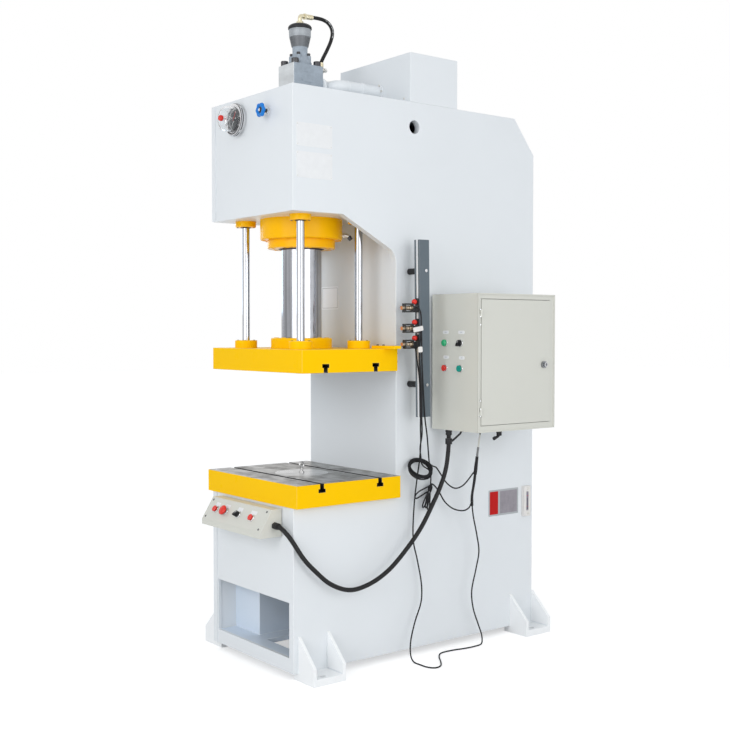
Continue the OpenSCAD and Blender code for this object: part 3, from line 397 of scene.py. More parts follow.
# Each finish with its slot in the record; a tone in words names a setting
FINISHES = {
    "frame_enamel": entry("frame_paint", enamel, "paint.frame", gloss=0.36, dust=0.035, edge=0.25),
    # The base's inner plates: the frame enamel tinted blue, painted bluish shade of the base's interior.
    "inside_enamel": entry("frame_paint", enamel, (0.69, 0.775, 0.88), gloss=0.36, dust=0.06, edge=0.2),
    # The feet: the frame enamel made lighter, a painted-light copy of it.
    "foot_enamel": entry("frame_paint", enamel, (0.90, 0.915, 0.925), gloss=0.36, dust=0.035, edge=0.25),
    "yellow_enamel": entry("yellow_paint", enamel, "paint.yellow", gloss=0.3, dust=0.02, edge=0.08, coat=0.0,
                          specular=0.04),
    "orange_enamel": entry("orange_paint", enamel, "paint.orange", gloss=0.22, dust=0.02, edge=0.08, coat=0.0,
                          specular=0.11),
    "cabinet_coat": entry("beige_paint", enamel, "paint.beige", gloss=0.46, drift=0.02, dust=0.03, edge=0.15,
                         wave=0.2, grain=1100.0, bump=0.00005, coat=0.0),
    "rail_enamel": entry("rail_paint", enamel, "paint.rail", gloss=0.34, drift=0.06, dust=0.12, edge=0.10),
    "rail_inside": entry("rail_paint", enamel, (0.80, 0.82, 0.84), gloss=0.34, dust=0.05, edge=0.1),
    "bracket_black": entry("black_plastic", enamel, "plastic.black", gloss=0.36, dust=0.05, edge=0.12),
    "zinc": entry("zinc", metal, (0.60, 0.61, 0.62), (0.36, 0.35, 0.33), 70, 0.35, 0.4, 0.34),
    "nickel": entry("zinc", metal, (0.50, 0.42, 0.32), (0.24, 0.15, 0.08), 90, 0.6, 0.6, 0.28),
    "brass_zinc": entry("zinc", metal, (0.72, 0.66, 0.48), (0.45, 0.38, 0.24), 80, 0.3, 0.35, 0.3),
    # The table's ground face has strong streaking along X: partly grinding marks, partly painted reflections.
    "ground_steel": entry("machined_steel", metal, (0.34, 0.335, 0.325), (0.10, 0.092, 0.08), (7, 300, 300),
                         1.5, 0.85, 0.30),
    # Near-black steel on the walls of the T-slots and the centre hole: painted shade of their depth.
    "slot_steel": entry("machined_steel", metal, (0.10,) * 3, (0.03,) * 3, (10, 300, 300), 0.6, 0.6, 0.42),
    "turned_steel": entry("machined_steel", metal, (0.55,) * 3, (0.25, 0.24, 0.23), 120, 0.35, 0.35, 0.28),
    "black_steel": entry("machined_steel", metal, (0.09, 0.09, 0.095), (0.03, 0.028, 0.025), 90, 0.5, 0.5,
                         0.38),
    "dark_screw": entry("machined_steel", metal, (0.16, 0.16, 0.165), (0.06,) * 3, 90, 0.4, 0.4, 0.36),
    # The rods' chrome is darkened and strongly banded along its length: painted reflections of dark
    # surroundings.
    "chrome": entry("chrome_rod", metal, (0.50, 0.51, 0.54), (0.30, 0.31, 0.33), (260, 260, 1.2), 2.4, 0.2,
                    0.14, bump=POLISHED),
    "rod_chrome": entry("chrome_rod", metal, (0.40, 0.41, 0.44), (0.16, 0.16, 0.165), (60, 60, 0.6), 2.6,
                        0.2, 0.15, bump=POLISHED),
    "plain_chrome": entry("chrome_rod", metal, (0.72, 0.73, 0.75), (0.4,) * 3, 40, 0.2, 0.1, 0.12,
                          bump=POLISHED),
    "gauge_chrome": entry("chrome_rod", metal, (0.74, 0.74, 0.75), (0.45,) * 3, 60, 0.15, 0.1, 0.16,
                          bump=PLATED),
    "gauge_shade": entry("chrome_rod", metal, (0.13, 0.13, 0.14), (0.05,) * 3, 60, 0.2, 0.1, 0.16,
                         bump=PLATED),
    "dark_chrome": entry("chrome_rod", metal, (0.34, 0.35, 0.37), (0.12,) * 3, 60, 0.3, 0.2, 0.14,
                         bump=PLATED),
    "valve_face": entry("cast_grey", metal, (0.62, 0.65, 0.67), (0.42, 0.43, 0.44), (30, 300, 300), 0.4, 0.3,
                       0.36),
    "valve_casting": entry("cast_grey", moulded, "paint.casting", gloss=0.5, grain=520.0, mottle=0.3,
                           lint=0.05, bump=0.0004, specular=0.3),
    "valve_sleeve": entry("cast_grey", moulded, (0.20, 0.21, 0.225), gloss=0.42, grain=700.0, mottle=0.2,
                         bump=0.0001, metallic=0.2, specular=0.3),
    "valve_band": entry("cast_grey", moulded, (0.36, 0.385, 0.41), gloss=0.4, grain=700.0, mottle=0.15,
                       bump=0.00006, metallic=0.2, specular=0.3),
    "valve_cap": entry("black_plastic", moulded, (0.03, 0.031, 0.035), gloss=0.34, grain=600.0, lint=0.05,
                      specular=0.2),
    "black_moulding": entry("black_plastic", moulded, "plastic.black", gloss=0.36, specular=0.25),
    "dial_card": entry("black_plastic", moulded, (0.035, 0.037, 0.04), gloss=0.5, grain=1200.0, mottle=0.1),
    "ink": entry("black_plastic", moulded, (0.02, 0.02, 0.022), gloss=0.5, grain=1500.0),
    "jacket_rubber": entry("black_rubber", moulded, "plastic.black", gloss=0.48, grain=700.0, lint=0.05,
                          bump=0.00006, specular=0.15),
    "hose_rubber": entry("black_rubber", moulded, (0.014, 0.014, 0.015), gloss=0.4, grain=450.0, lint=0.05,
                        bump=0.00012, specular=0.2),
    "grey_jacket": entry("black_rubber", moulded, (0.17, 0.175, 0.18), gloss=0.45, grain=700.0),
    "red_moulding": entry("red_plastic", moulded, "plastic.red", gloss=0.24, coat=0.15, grain=1400.0,
                         specular=0.2),
    "sensor_face": entry("red_plastic", moulded, (0.60, 0.22, 0.08), gloss=0.4, specular=0.3),
    "red_card": entry("red_plastic", moulded, (0.50, 0.010, 0.010), gloss=0.4, grain=1500.0, mottle=0.08,
                     specular=0.12),
    "green_lens": entry("green_plastic", moulded, "plastic.green", gloss=0.16, coat=0.6, grain=300.0,
                       mottle=0.25),
    "teal_moulding": entry("green_plastic", moulded, "plastic.teal", gloss=0.25, coat=0.1, specular=0.25),
    "blue_moulding": entry("blue_plastic", moulded, "plastic.blue", gloss=0.3, coat=0.08, specular=0.25),
    "white_sleeve": entry("clear_plastic", moulded, (0.78, 0.76, 0.74), gloss=0.5, mottle=0.15),
    "pale_sleeve": entry("clear_plastic", moulded, (0.58, 0.58, 0.54), gloss=0.5, grain=700.0, lint=0.1),
    "card": entry("clear_plastic", moulded, "plastic.card", gloss=0.5, grain=1500.0, mottle=0.05, lint=0.02),
    "grey_card": entry("clear_plastic", moulded, (0.42, 0.44, 0.46), gloss=0.4, grain=1500.0, mottle=0.08),
    "pale_card": entry("clear_plastic", moulded, (0.60, 0.62, 0.66), gloss=0.5, grain=1500.0, mottle=0.05),
    "side_card": entry("clear_plastic", moulded, (0.30, 0.28, 0.31), gloss=0.42, grain=1500.0, mottle=0.25,
                      specular=0.2),
    # A whiter, cooler copy of the white card for the label in the throat's shade: painted light.
    "label_white": entry("clear_plastic", moulded, (0.93, 0.95, 0.99), gloss=0.5, grain=1500.0, mottle=0.03,
                        lint=0.0),
    "dial_white": entry("clear_plastic", moulded, (0.85, 0.85, 0.84), gloss=0.5, grain=1200.0, mottle=0.05,
                       lint=0.0),
    "clear_cover": entry("clear_plastic", clear, (0.97, 0.98, 0.99), 0.02, 1.49, 1.0),
    "oil_glass": entry("clear_plastic", clear, (0.36, 0.33, 0.42), 0.06, 1.5, 0.35),
}


def finish(name):
    """The material of that name, built when it is first asked for."""
    if name not in bpy.data.materials:
        _, maker, tone, values, facts = FINISHES[name]
        if isinstance(tone, str):
            settings, key = tone.split(".")
            tone = getattr(getattr(bpy.context.scene, "press_" + settings), key)
        maker(name, tone, *values, **facts)
    return bpy.data.materials[name]


# ---- meshes ----

# How far a rounded edge's normal may lean off its face before it counts as stray
LEAN_LIMIT = math.cos(math.radians(32))


def linked(name, data):
    """A new object in the scene."""
    made = bpy.data.objects.new(name, data)
    bpy.context.scene.collection.objects.link(made)
    return made


def smooth_by_angle(mesh, degrees):
    mesh.shade_smooth()
    mesh.set_sharp_from_angle(angle=math.radians(degrees))


def add_piece(name, mesh, body, materials, stands_for=()):
    """Links a finished mesh as a piece on a CAD body, with its finishes."""
    piece = linked(name, mesh)
    if len(materials) == 1:
        mesh.materials.clear()
    for material in materials:
        mesh.materials.append(finish(material))
    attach(piece, body)
    if stands_for:
        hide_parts(*stands_for)
    return piece


def evaluated(piece):
    """A plain mesh of an object with its modifiers applied; the object is removed."""
    graph = bpy.context.evaluated_depsgraph_get()
    mesh = bpy.data.meshes.new_from_object(piece.evaluated_get(graph), depsgraph=graph)
    bpy.data.objects.remove(piece)
    return mesh


def weighted(mesh):
    """Flat faces stay flat to the light and only the rounded edges turn."""
    smooth_by_angle(mesh, 50)
    holder = linked("holder", mesh)
    mod = holder.modifiers.new("normals", "WEIGHTED_NORMAL")
    mod.keep_sharp = True
    mod.weight = 90
    mesh = evaluated(holder)
    normals = [corner.vector.copy() for corner in mesh.corner_normals]
    for face in mesh.polygons:
        for k in face.loop_indices:
            if normals[k].dot(face.normal) < LEAN_LIMIT:
                normals[k] = face.normal.copy()
    mesh.normals_split_custom_set(normals)
    return mesh


def round_edges(bm, width, angle=35.0, keep=None):
    """Rounds every sharp edge but those that keep picks, and marks the new faces for the lighter edge paint:
    partly worn, partly a painted highlight.
    """
    mark = bm.faces.layers.float.get("edge") or bm.faces.layers.float.new("edge")
    sharp = [e for e in bm.edges if len(e.link_faces) == 2
             and e.calc_face_angle(0.0) > math.radians(angle) and not (keep and keep(e))]
    if sharp and width > 0:
        made = bmesh.ops.bevel(bm, geom=sharp, offset=width, offset_type="OFFSET", segments=2,
                               profile=0.5, affect="EDGES", clamp_overlap=True, material=-1)
        for face in made["faces"]:
            face[mark] = 1.0


def finish_cad(node, materials, edge, angle=35.0, pick=None, name=None, keep=None):
    """A CAD node with rounded edges and its finishes; pick gives a face's material index."""
    bm = bmesh.new()
    bm.from_mesh(frame["nodes"][node].data)
    bmesh.ops.remove_doubles(bm, verts=bm.verts, dist=2e-6)
    bmesh.ops.dissolve_limit(bm, angle_limit=math.radians(0.3), verts=bm.verts, edges=bm.edges)
    if pick:
        for face in bm.faces:
            face.material_index = pick(face)
    round_edges(bm, edge, angle, keep)
    name = name or node + "_finished"
    mesh = bpy.data.meshes.new(name)
    bm.to_mesh(mesh)
    bm.free()
    mesh = weighted(mesh)
    mesh.name = name
    return add_piece(mesh.name, mesh, frame["nodes"][node]["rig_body"], materials, (node,))


def cad_copy(node, material, edge=None, **how):
    return finish_cad(node, [material], edges().fine if edge is None else edge, **how)


def facing(point, direction, up=None):
    """A matrix whose Z points along direction, from a point in metres."""
    z = Vector(direction).normalized()
    up = Vector(up) if up is not None else (Z if abs(z.z) < 0.9 else X)
    x = up.cross(z).normalized()
    return Matrix.Translation(Vector(point)) @ Matrix((x, z.cross(x), z)).transposed().to_4x4()


def front_place(x, y, z, turn=0.0):
    """A matrix on a front face: X to the right of a viewer, Z towards them."""
    return facing(mm(x, y, z), FRONT, Z) @ spun(turn)


def side_place(x, y, z):
    """A matrix on a face of the press's right side: X runs along +Y, Z outwards."""
    return facing(mm(x, y, z), X, Z)


def circle(count, radius, first=0.0):
    """Points on a circle, in the units of radius."""
    return [(radius * math.cos(a), radius * math.sin(a))
            for a in (first + 2 * math.pi * i / count for i in range(count))]


def around(steps):
    return np.linspace(0, 2 * math.pi, steps, endpoint=False)


def rounded_outline(w, h, r, steps=5):
    """Rectangle w by h with rounded corners, centred, anticlockwise."""
    corners = ((1, -1, -90), (1, 1, 0), (-1, 1, 90), (-1, -1, 180))
    return [(sx * (w / 2 - r) + r * math.cos(math.radians(a0 + 90 * i / steps)),
             sy * (h / 2 - r) + r * math.sin(math.radians(a0 + 90 * i / steps)))
            for sx, sy, a0 in corners for i in range(steps + 1)]


class Shape:
    """Collects closed solids in one mesh. Sizes are in millimetres, places are matrices in metres."""

    def __init__(self):
        self.bm = bmesh.new()
        self.bm.faces.layers.float.new("edge")

    def faces(self, points, faces, place, mat):
        verts = [self.bm.verts.new(place @ (Vector(p) * MM)) for p in points]
        for face in faces:
            self.bm.faces.new([verts[i] for i in face]).material_index = mat
        return self

    def skin(self, rings, place, mat=0):
        """A solid over rings that have the same number of points, flat at both ends."""
        steps, last = len(rings[0]), len(rings) - 1
        faces = [(k * steps + i, k * steps + (i + 1) % steps, (k + 1) * steps + (i + 1) % steps,
                  (k + 1) * steps + i) for k in range(last) for i in range(steps)]
        faces += [tuple(reversed(range(steps))), tuple(range(last * steps, (last + 1) * steps))]
        return self.faces([p for r in rings for p in r], faces, place, mat)

    def lathe(self, profile, place, steps, mat=0, closed=False):
        """Turns a profile of (radius, height) round Z. Radius 0 makes a pole."""
        points, rings = [], []
        for r, h in profile:
            if r == 0:
                rings.append([len(points)])
                points.append((0, 0, h))
            else:
                rings.append(range(len(points), len(points) + steps))
                points += [(r * math.cos(a), r * math.sin(a), h) for a in around(steps)]
        if closed:
            rings.append(rings[0])
        faces = []
        for low, high in zip(rings, rings[1:]):
            for i in range(steps):
                j = (i + 1) % steps
                if len(low) == 1:
                    faces.append((low[0], high[j], high[i]))
                elif len(high) == 1:
                    faces.append((low[i], low[j], high[0]))
                else:
                    faces.append((low[i], low[j], high[j], high[i]))
        return self.faces(points, faces, place, mat)

    def turned(self, place, steps, *sizes, mat=0):
        """A solid turned from radius, height, radius, height...; its ends are closed on the axis."""
        profile = list(zip(sizes[::2], sizes[1::2]))
        if profile[0][0]:
            profile.insert(0, (0, profile[0][1]))
        if profile[-1][0]:
            profile.append((0, profile[-1][1]))
        return self.lathe(profile, place, steps, mat)

    def hoop(self, place, steps, *sizes, mat=0):
        """A ring whose section runs through radius, height, radius, height..."""
        return self.lathe(list(zip(sizes[::2], sizes[1::2])), place, steps, mat, closed=True)

    def prism(self, outline, low, high, place, mat=0, edge=0.0):
        """A straight solid on an outline drawn anticlockwise in X and Y."""
        count = len(outline)
        points = [(x, y, low) for x, y in outline] + [(x, y, high) for x, y in outline]
        sides = [(i, (i + 1) % count, (i + 1) % count + count, i + count) for i in range(count)]
        faces = [tuple(reversed(range(count))), tuple(range(count, 2 * count)), *sides]
        if not edge:
            return self.faces(points, faces, place, mat)
        part = Shape().faces(points, faces, place, mat)
        round_edges(part.bm, edge * MM)
        mesh = bpy.data.meshes.new("part")
        part.bm.to_mesh(mesh)
        part.bm.free()
        self.bm.from_mesh(mesh)
        bpy.data.meshes.remove(mesh)
        return self

    def slab(self, w, h, r, low, high, place, mat=0, edge=0.0, steps=5):
        return self.prism(rounded_outline(w, h, r, steps), low, high, place, mat, edge)

    def hexagon(self, radius, low, high, place, mat=0, edge=0.0):
        return self.prism(circle(6, radius), low, high, place, mat, edge)

    def box(self, low, high, place=None, mat=0, edge=0.0):
        (x0, y0, z0), (x1, y1, z1) = low, high
        return self.prism([(x0, y0), (x1, y0), (x1, y1), (x0, y1)], z0, z1,
                          place if place is not None else Matrix(), mat, edge)

    def tube(self, line, radius, sides=12, mat=0):
        """A closed tube along points in metres; radius is one number or one for each point."""
        points = [Vector(p) / MM for p in line]
        radii = [radius] * len(points) if isinstance(radius, (int, float)) else radius
        rings, side = [], None
        for i, (p, r) in enumerate(zip(points, radii)):
            t = (points[min(i + 1, len(points) - 1)] - points[max(i - 1, 0)]).normalized()
            side = (side if side is not None else (Z if abs(t.z) < 0.9 else X))
            side = (side - t * side.dot(t)).normalized()
            other = t.cross(side)
            rings.append([p + (side * math.cos(a) + other * math.sin(a)) * r for a in around(sides)])
        return self.skin(rings, Matrix(), mat)

    def mesh(self, name, degrees=32.0):
        mesh = bpy.data.meshes.new(name)
        self.bm.to_mesh(mesh)
        self.bm.free()
        smooth_by_angle(mesh, degrees)
        return mesh

    def piece(self, name, materials, stands_for=(), degrees=32.0, body="frame"):
        return add_piece(name, self.mesh(name, degrees), body, materials, stands_for)


def through(points, per_span=6):
    """A smooth line through points (centripetal Catmull-Rom), as an array."""
    p = np.array([list(q) for q in points], float)
    p = np.vstack([2 * p[:1] - p[1:2], p, 2 * p[-1:] - p[-2:-1]])
    out = []
    for i in range(1, len(p) - 2):
        a, b, c, d = p[i - 1:i + 3]
        t0 = 0.0
        t1 = t0 + max(np.linalg.norm(b - a), 1e-9) ** 0.5
        t2 = t1 + max(np.linalg.norm(c - b), 1e-9) ** 0.5
        t3 = t2 + max(np.linalg.norm(d - c), 1e-9) ** 0.5
        for t in np.linspace(t1, t2, per_span, endpoint=False):
            a1 = (t1 - t) / (t1 - t0) * a + (t - t0) / (t1 - t0) * b
            a2 = (t2 - t) / (t2 - t1) * b + (t - t1) / (t2 - t1) * c
            a3 = (t3 - t) / (t3 - t2) * c + (t - t2) / (t3 - t2) * d
            b1 = (t2 - t) / (t2 - t0) * a1 + (t - t0) / (t2 - t0) * a2
            b2 = (t3 - t) / (t3 - t1) * a2 + (t - t1) / (t3 - t1) * a3
            out.append((t2 - t) / (t2 - t1) * b1 + (t - t1) / (t2 - t1) * b2)
    out.append(p[-2])
    return np.array(out)


def run_along(p):
    """How far along a line each of its points lies."""
    return np.concatenate([[0], np.cumsum(np.linalg.norm(np.diff(p, axis=0), axis=1))])


def even_line(points, step=0.003, floor=0.0, bend=0.0):
    """Points at even steps along a line, its kinks eased and none of it below the floor."""
    p = np.array([list(q) for q in points], float)
    run = run_along(p)
    stops = np.linspace(0, run[-1], max(int(run[-1] / step), 8))
    p = np.stack([np.interp(stops, run, p[:, k]) for k in range(3)], axis=1)
    for _ in range(3):
        p[1:-1] = (p[:-2] + 2 * p[1:-1] + p[2:]) / 4
    for _ in range(300):
        tight = np.where(bend_radii(p) < bend)[0] + 1
        if not len(tight):
            break
        near = np.unique(np.clip((tight[:, None] + np.arange(-3, 4)).ravel(), 1, len(p) - 2))
        p[near] = (p[near - 1] + 2 * p[near] + p[near + 1]) / 4
    p[:, 2] = np.maximum(p[:, 2], floor)
    return p


def bend_radii(p):
    """Radius of the circle through each three neighbouring points of a line."""
    a, b, c = (np.linalg.norm(q, axis=1) for q in (p[1:-1] - p[:-2], p[2:] - p[1:-1], p[2:] - p[:-2]))
    twice = np.linalg.norm(np.cross(p[1:-1] - p[:-2], p[2:] - p[:-2]), axis=1)
    return a * b * c / (2 * twice + 1e-12)


def line_length(points):
    return float(run_along(np.array([list(q) for q in points], float))[-1])


# ---- stage ----

# Name, place, target, size and tone of each lamp; the first word of its name is its power's setting
LAMPS = (("key_lamp", (1.7, -5.0, 2.2), (0.1, -0.3, 1.2), 3.0, (1, 1, 1)),
         ("side_lamp", (5.2, -0.5, 1.9), (0, 0.0, 1.2), 3.2, (1, 1, 1)),
         ("throat_lamp", (-1.1, -0.45, 1.72), (0.2, 0.2, 1.75), 0.6, (0.62, 0.82, 1)))
SKY_TONE, FLOOR_DARK, FLOOR_LIGHT = (0.94, 0.97, 1.0, 1), (0.69, 0.69, 0.69, 1), (0.72, 0.72, 0.72, 1)
FLOOR_GLOW, FLOOR_HALF = 0.51, 30


class PRESS_OT_stage(Operator):
    """Set up the camera, the floor and the light"""
    bl_idname = "press.stage"
    bl_label = "Stage"

    def execute(self, context):
        stage = context.scene.press_stage
        context.scene.view_settings.view_transform = "Standard"
        self.camera(stage)
        self.world(stage)
        self.floor()
        for name, place, target, size, tone in LAMPS:
            data = bpy.data.lights.new(name, "AREA")
            data.shape, data.size, data.color = "SQUARE", size, tone
            data.energy = getattr(stage, name.split("_")[0])
            lamp = linked(name, data)
            lamp.visible_camera = False
            lamp.matrix_world = facing(place, Vector(place) - Vector(target))
        return {"FINISHED"}

    def camera(self, stage):
        data = bpy.data.cameras.new("camera")
        data.sensor_width, data.lens = 36.0, stage.lens
        data.clip_start, data.clip_end = 0.05, 60.0
        camera = linked("camera", data)
        a, e = math.radians(stage.azimuth), math.radians(stage.elevation)
        back = Vector((math.sin(a) * math.cos(e), -math.cos(a) * math.cos(e), math.sin(e)))
        camera.matrix_world = facing(stage.place, back)
        bpy.context.scene.camera = camera

    def world(self, stage):
        world = bpy.data.worlds.new("studio")
        bpy.context.scene.world = world
        world.use_nodes = True
        w = Wiring(world.node_tree)
        w.tree.nodes.clear()
        sky = w.out("ShaderNodeBackground", {"Color": SKY_TONE, "Strength": stage.sky})
        white = w.out("ShaderNodeBackground", {"Color": (1, 1, 1, 1), "Strength": 1.0})
        both = w.out("ShaderNodeMixShader", {0: w.seen(), 1: sky, 2: white})
        w.add("ShaderNodeOutputWorld", {"Surface": both})

    def floor(self):
        material = bpy.data.materials.new("studio_floor")
        material.use_nodes = True
        w = Wiring(material.node_tree)
        shader = w.tree.nodes["Principled BSDF"].inputs
        w.join(w.mix(w.noise(w.where(), 1.2, 3.0), FLOOR_DARK, FLOOR_LIGHT), shader["Base Color"])
        shader["Roughness"].default_value = 0.9
        shader["Emission Color"].default_value = (1, 1, 1, 1)
        w.join(w.times(w.seen(), FLOOR_GLOW), shader["Emission Strength"])
        mesh = bpy.data.meshes.new("studio_floor")
        h = FLOOR_HALF
        mesh.from_pydata([(-h, -h, 0), (h, -h, 0), (h, h, 0), (-h, h, 0)], [], [(0, 1, 2, 3)])
        mesh.materials.append(material)
        floor = linked("studio_floor", mesh)


# ---- cords ----

CONSOLE_HOSE = [
    (250, -678, 590), (272, -678, 587), (304, -660, 548), (332, -618, 470), (344, -571, 418),
    (352, -509, 365), (360, -424, 332), (366, -335, 343), (370, -242, 385), (375, -150, 462),
    (378, -77, 540), (380, -20, 625), (380, 26, 700), (380, 55, 770), (380, 69, 860), (380, 70, 905)]
CABLE_A = [
    (386, -115, 1262.3), (389, -112, 1232), (397, -109, 1180), (405, -107, 1100), (405, -104, 985),
    (394, -95, 945), (376, -78, 885), (350, -61, 815), (333, -60, 735), (328, -71, 630),
    (328, -76, 480), (330, -57, 402), (335, -37, 290), (338, -42, 225), (346, -82, 150),
    (354, -112, 70), (366, -120, 20), (390, -125, 4), (430, -128, 4), (478, -126, 4),
    (502, -106, 4), (494, -74, 4), (450, -34, 4), (400, 2, 4), (364, 44, 4), (362, 110, 4),
    (374, 170, 4), (376, 232, 4), (364, 276, 5), (347, 292, 32), (350, 268, 85), (357, 232, 160),
    (364, 216, 235), (371, 234, 330), (375, 247, 402), (378, 232, 475), (384, 204, 565),
    (396, 186, 640), (410, 185, 705), (432, 185, 842), (440, 190, 912)]
CABLE_B_UPPER = [
    (396, -120, 1344), (411, -118, 1343), (417, -113, 1328), (412, -114, 1290), (407, -113, 1230),
    (412, -106, 1110), (411, -103, 990), (398, -90, 920), (373, -79, 860), (356, -60, 824),
    (351, -52, 796), (354, -41, 780), (361, -27, 772)]
CABLE_B_LOWER = [
    (355, 3, 781), (350, 26, 774), (344, 56, 745), (347, 92, 700), (360, 125, 679),
    (376, 153, 690), (394, 174, 722), (412, 186, 752)]
CABLE_C_UPPER = [
    (396, -120, 1425), (408, -117, 1423), (413, -111, 1404), (413, -107, 1330), (413, -105, 1230),
    (409, -95, 1120), (406, -82, 985), (376, -44, 908), (344, -6, 806), (326, 20, 735)]
CABLE_C_LOWER = [
    (326, 26, 703), (329, 40, 692), (331, 60, 668), (336, 90, 622), (352, 124, 592), (372, 164, 584),
    (383, 183, 596), (389, 189, 616)]
COIL_MIDDLE, COIL_RADIUS, COIL_LEAN, COIL_ROLL = (354, -62, 774), 46, 48, 12
# In degrees: where the cable joins its first turn, and what the last turn lacks
COIL_START, COIL_OPEN = 68, 50
# Where each turn lies in the coil's section, in cable widths
COIL_SLOTS = ((-1, 0), (-0.5, -0.87), (0.5, -0.87), (0, 0), (-0.5, 0.87), (1, 0), (0.5, 0.87))
COIL_STEPS = 36
HANK_TIE, HANK_TOP, HANK_FOLD, HANK_TURN = (322, 20, 688), 17, 18.8, -32
# Angle, reach and offset along X of each loop of the hank
HANK_LOBES = ((-4, 93, -4), (-16, 86, 1), (-30, 90, 6), (-70, 90, 3))


def cord_piece(name, line, diameter, material, stands_for, sides=12, **facts):
    """A round cord along a dense line in metres."""
    piece = Shape().tube(line, diameter / 2 / MM, sides).piece(name, [material], stands_for, 60)
    return piece


class PRESS_OT_console_hose(Operator):
    """Lay the hose from the operator console to the cabinet"""
    bl_idname = "press.console_hose"
    bl_label = "Console hose"

    def execute(self, context):
        d = cables().console
        line = even_line(through(metres(CONSOLE_HOSE), 8), 0.006, bend=4 * d)
        cord_piece("console_hose_jacket", line, d,
                   "hose_rubber", ("console_hose",), sides=20,
                   far_end="object", stiffness="stiff", lay="hanging")
        return {"FINISHED"}


def coil_line(turns):
    """Line of the coil of cable B: the turns lie beside each other, each a little loose."""
    d = cables().switch / MM
    place = Matrix.Translation(Vector(COIL_MIDDLE)) @ spun(90 - COIL_LEAN, "Y") @ spun(COIL_ROLL, "X")

    def on_turn(turn, a):
        out, high = COIL_SLOTS[min(turn, turns - 1) % len(COIL_SLOTS)]
        return np.array([out * d + 2.0 * math.sin(2 * a + 1.7 * turn),
                         high * d + 2.6 * math.sin(a + 2.1 * turn)])

    points = []
    for k in range(turns * COIL_STEPS - COIL_OPEN // 10 + 1):
        turn, part = divmod(k, COIL_STEPS)
        a = math.radians(COIL_START) - 2 * math.pi * k / COIL_STEPS
        share = min(max((part / COIL_STEPS - 0.7) / 0.3, 0.0), 1.0)
        share = share * share * (3 - 2 * share)
        out, high = (1 - share) * on_turn(turn, a) + share * on_turn(turn + 1, a)
        r = COIL_RADIUS + out
        points.append(tuple(place @ Vector((r * math.cos(a), r * math.sin(a), high))))
    return points


def hank_line():
    """Loops of cable C that hang from the tie, as points in millimetres."""
    tie, turn, points = Vector(HANK_TIE), math.radians(HANK_TURN), []
    for n, (angle, reach, x) in enumerate(HANK_LOBES):
        more = n + 1 < len(HANK_LOBES)
        a = math.radians(angle)
        down = Vector((0, math.sin(a), -math.cos(a)))
        across = Vector((math.sin(turn), math.cos(turn) * math.cos(a), math.cos(turn) * math.sin(a)))
        deep = reach - HANK_FOLD
        top = [(HANK_TOP * math.cos(q), 8 - HANK_TOP * math.sin(q)) for q in (0, math.pi / 6, math.pi / 3)]
        outline = [*(reversed(top) if n else top[:1]), (HANK_TOP, 30), (HANK_FOLD * 0.97, deep - 26)]
        for k in range(7):
            q = math.radians(k * 30)
            outline.append((HANK_FOLD * math.cos(q), deep + HANK_FOLD * math.sin(q)))
        outline += [(-HANK_FOLD * 0.97, deep - 26), (-HANK_TOP, 30)]
        outline += [(-s, t) for s, t in (top if more else top[:1])]
        for k, (s, t) in enumerate(outline):
            points.append(tie + down * t + across * s + X * (x + 3.2 * (k / len(outline) - 0.5)))
        if more:
            points.append(tie + X * ((x + HANK_LOBES[n + 1][2]) / 2) + down * (8 - HANK_TOP))
    return [tuple(p) for p in points]


class PRESS_OT_switch_cables(Operator):
    """Lay the three sensor cables, with their coil and their hank"""
    bl_idname = "press.switch_cables"
    bl_label = "Switch cables"

    def execute(self, context):
        d = cables().switch
        line = even_line(through(metres(CABLE_A), 6), 0.005, floor=d / 2)
        cord_piece("switch_cable_a_jacket", line, d, "jacket_rubber", ("switch_cable_a",),
                   far_end="object", stiffness="medium", lay="loose")
        coil = coil_line(cables().coil_turns)
        line = even_line(metres(through([*CABLE_B_UPPER, *coil[::3], *CABLE_B_LOWER], 4)), bend=3 * d)
        cord_piece("switch_cable_b_jacket", line, d, "jacket_rubber", ("switch_cable_b", "cable_coil"),
                   sides=10, far_end="object", stiffness="medium", lay="coiled")
        line = even_line(metres(through([*CABLE_C_UPPER, *hank_line(), *CABLE_C_LOWER], 4)), bend=2 * d)
        cord_piece("switch_cable_c_jacket", line, d, "jacket_rubber", ("switch_cable_c", "cable_hank"),
                   sides=10, far_end="object", stiffness="limp", lay="coiled")
        return {"FINISHED"}


# ---- Geometry Nodes ----

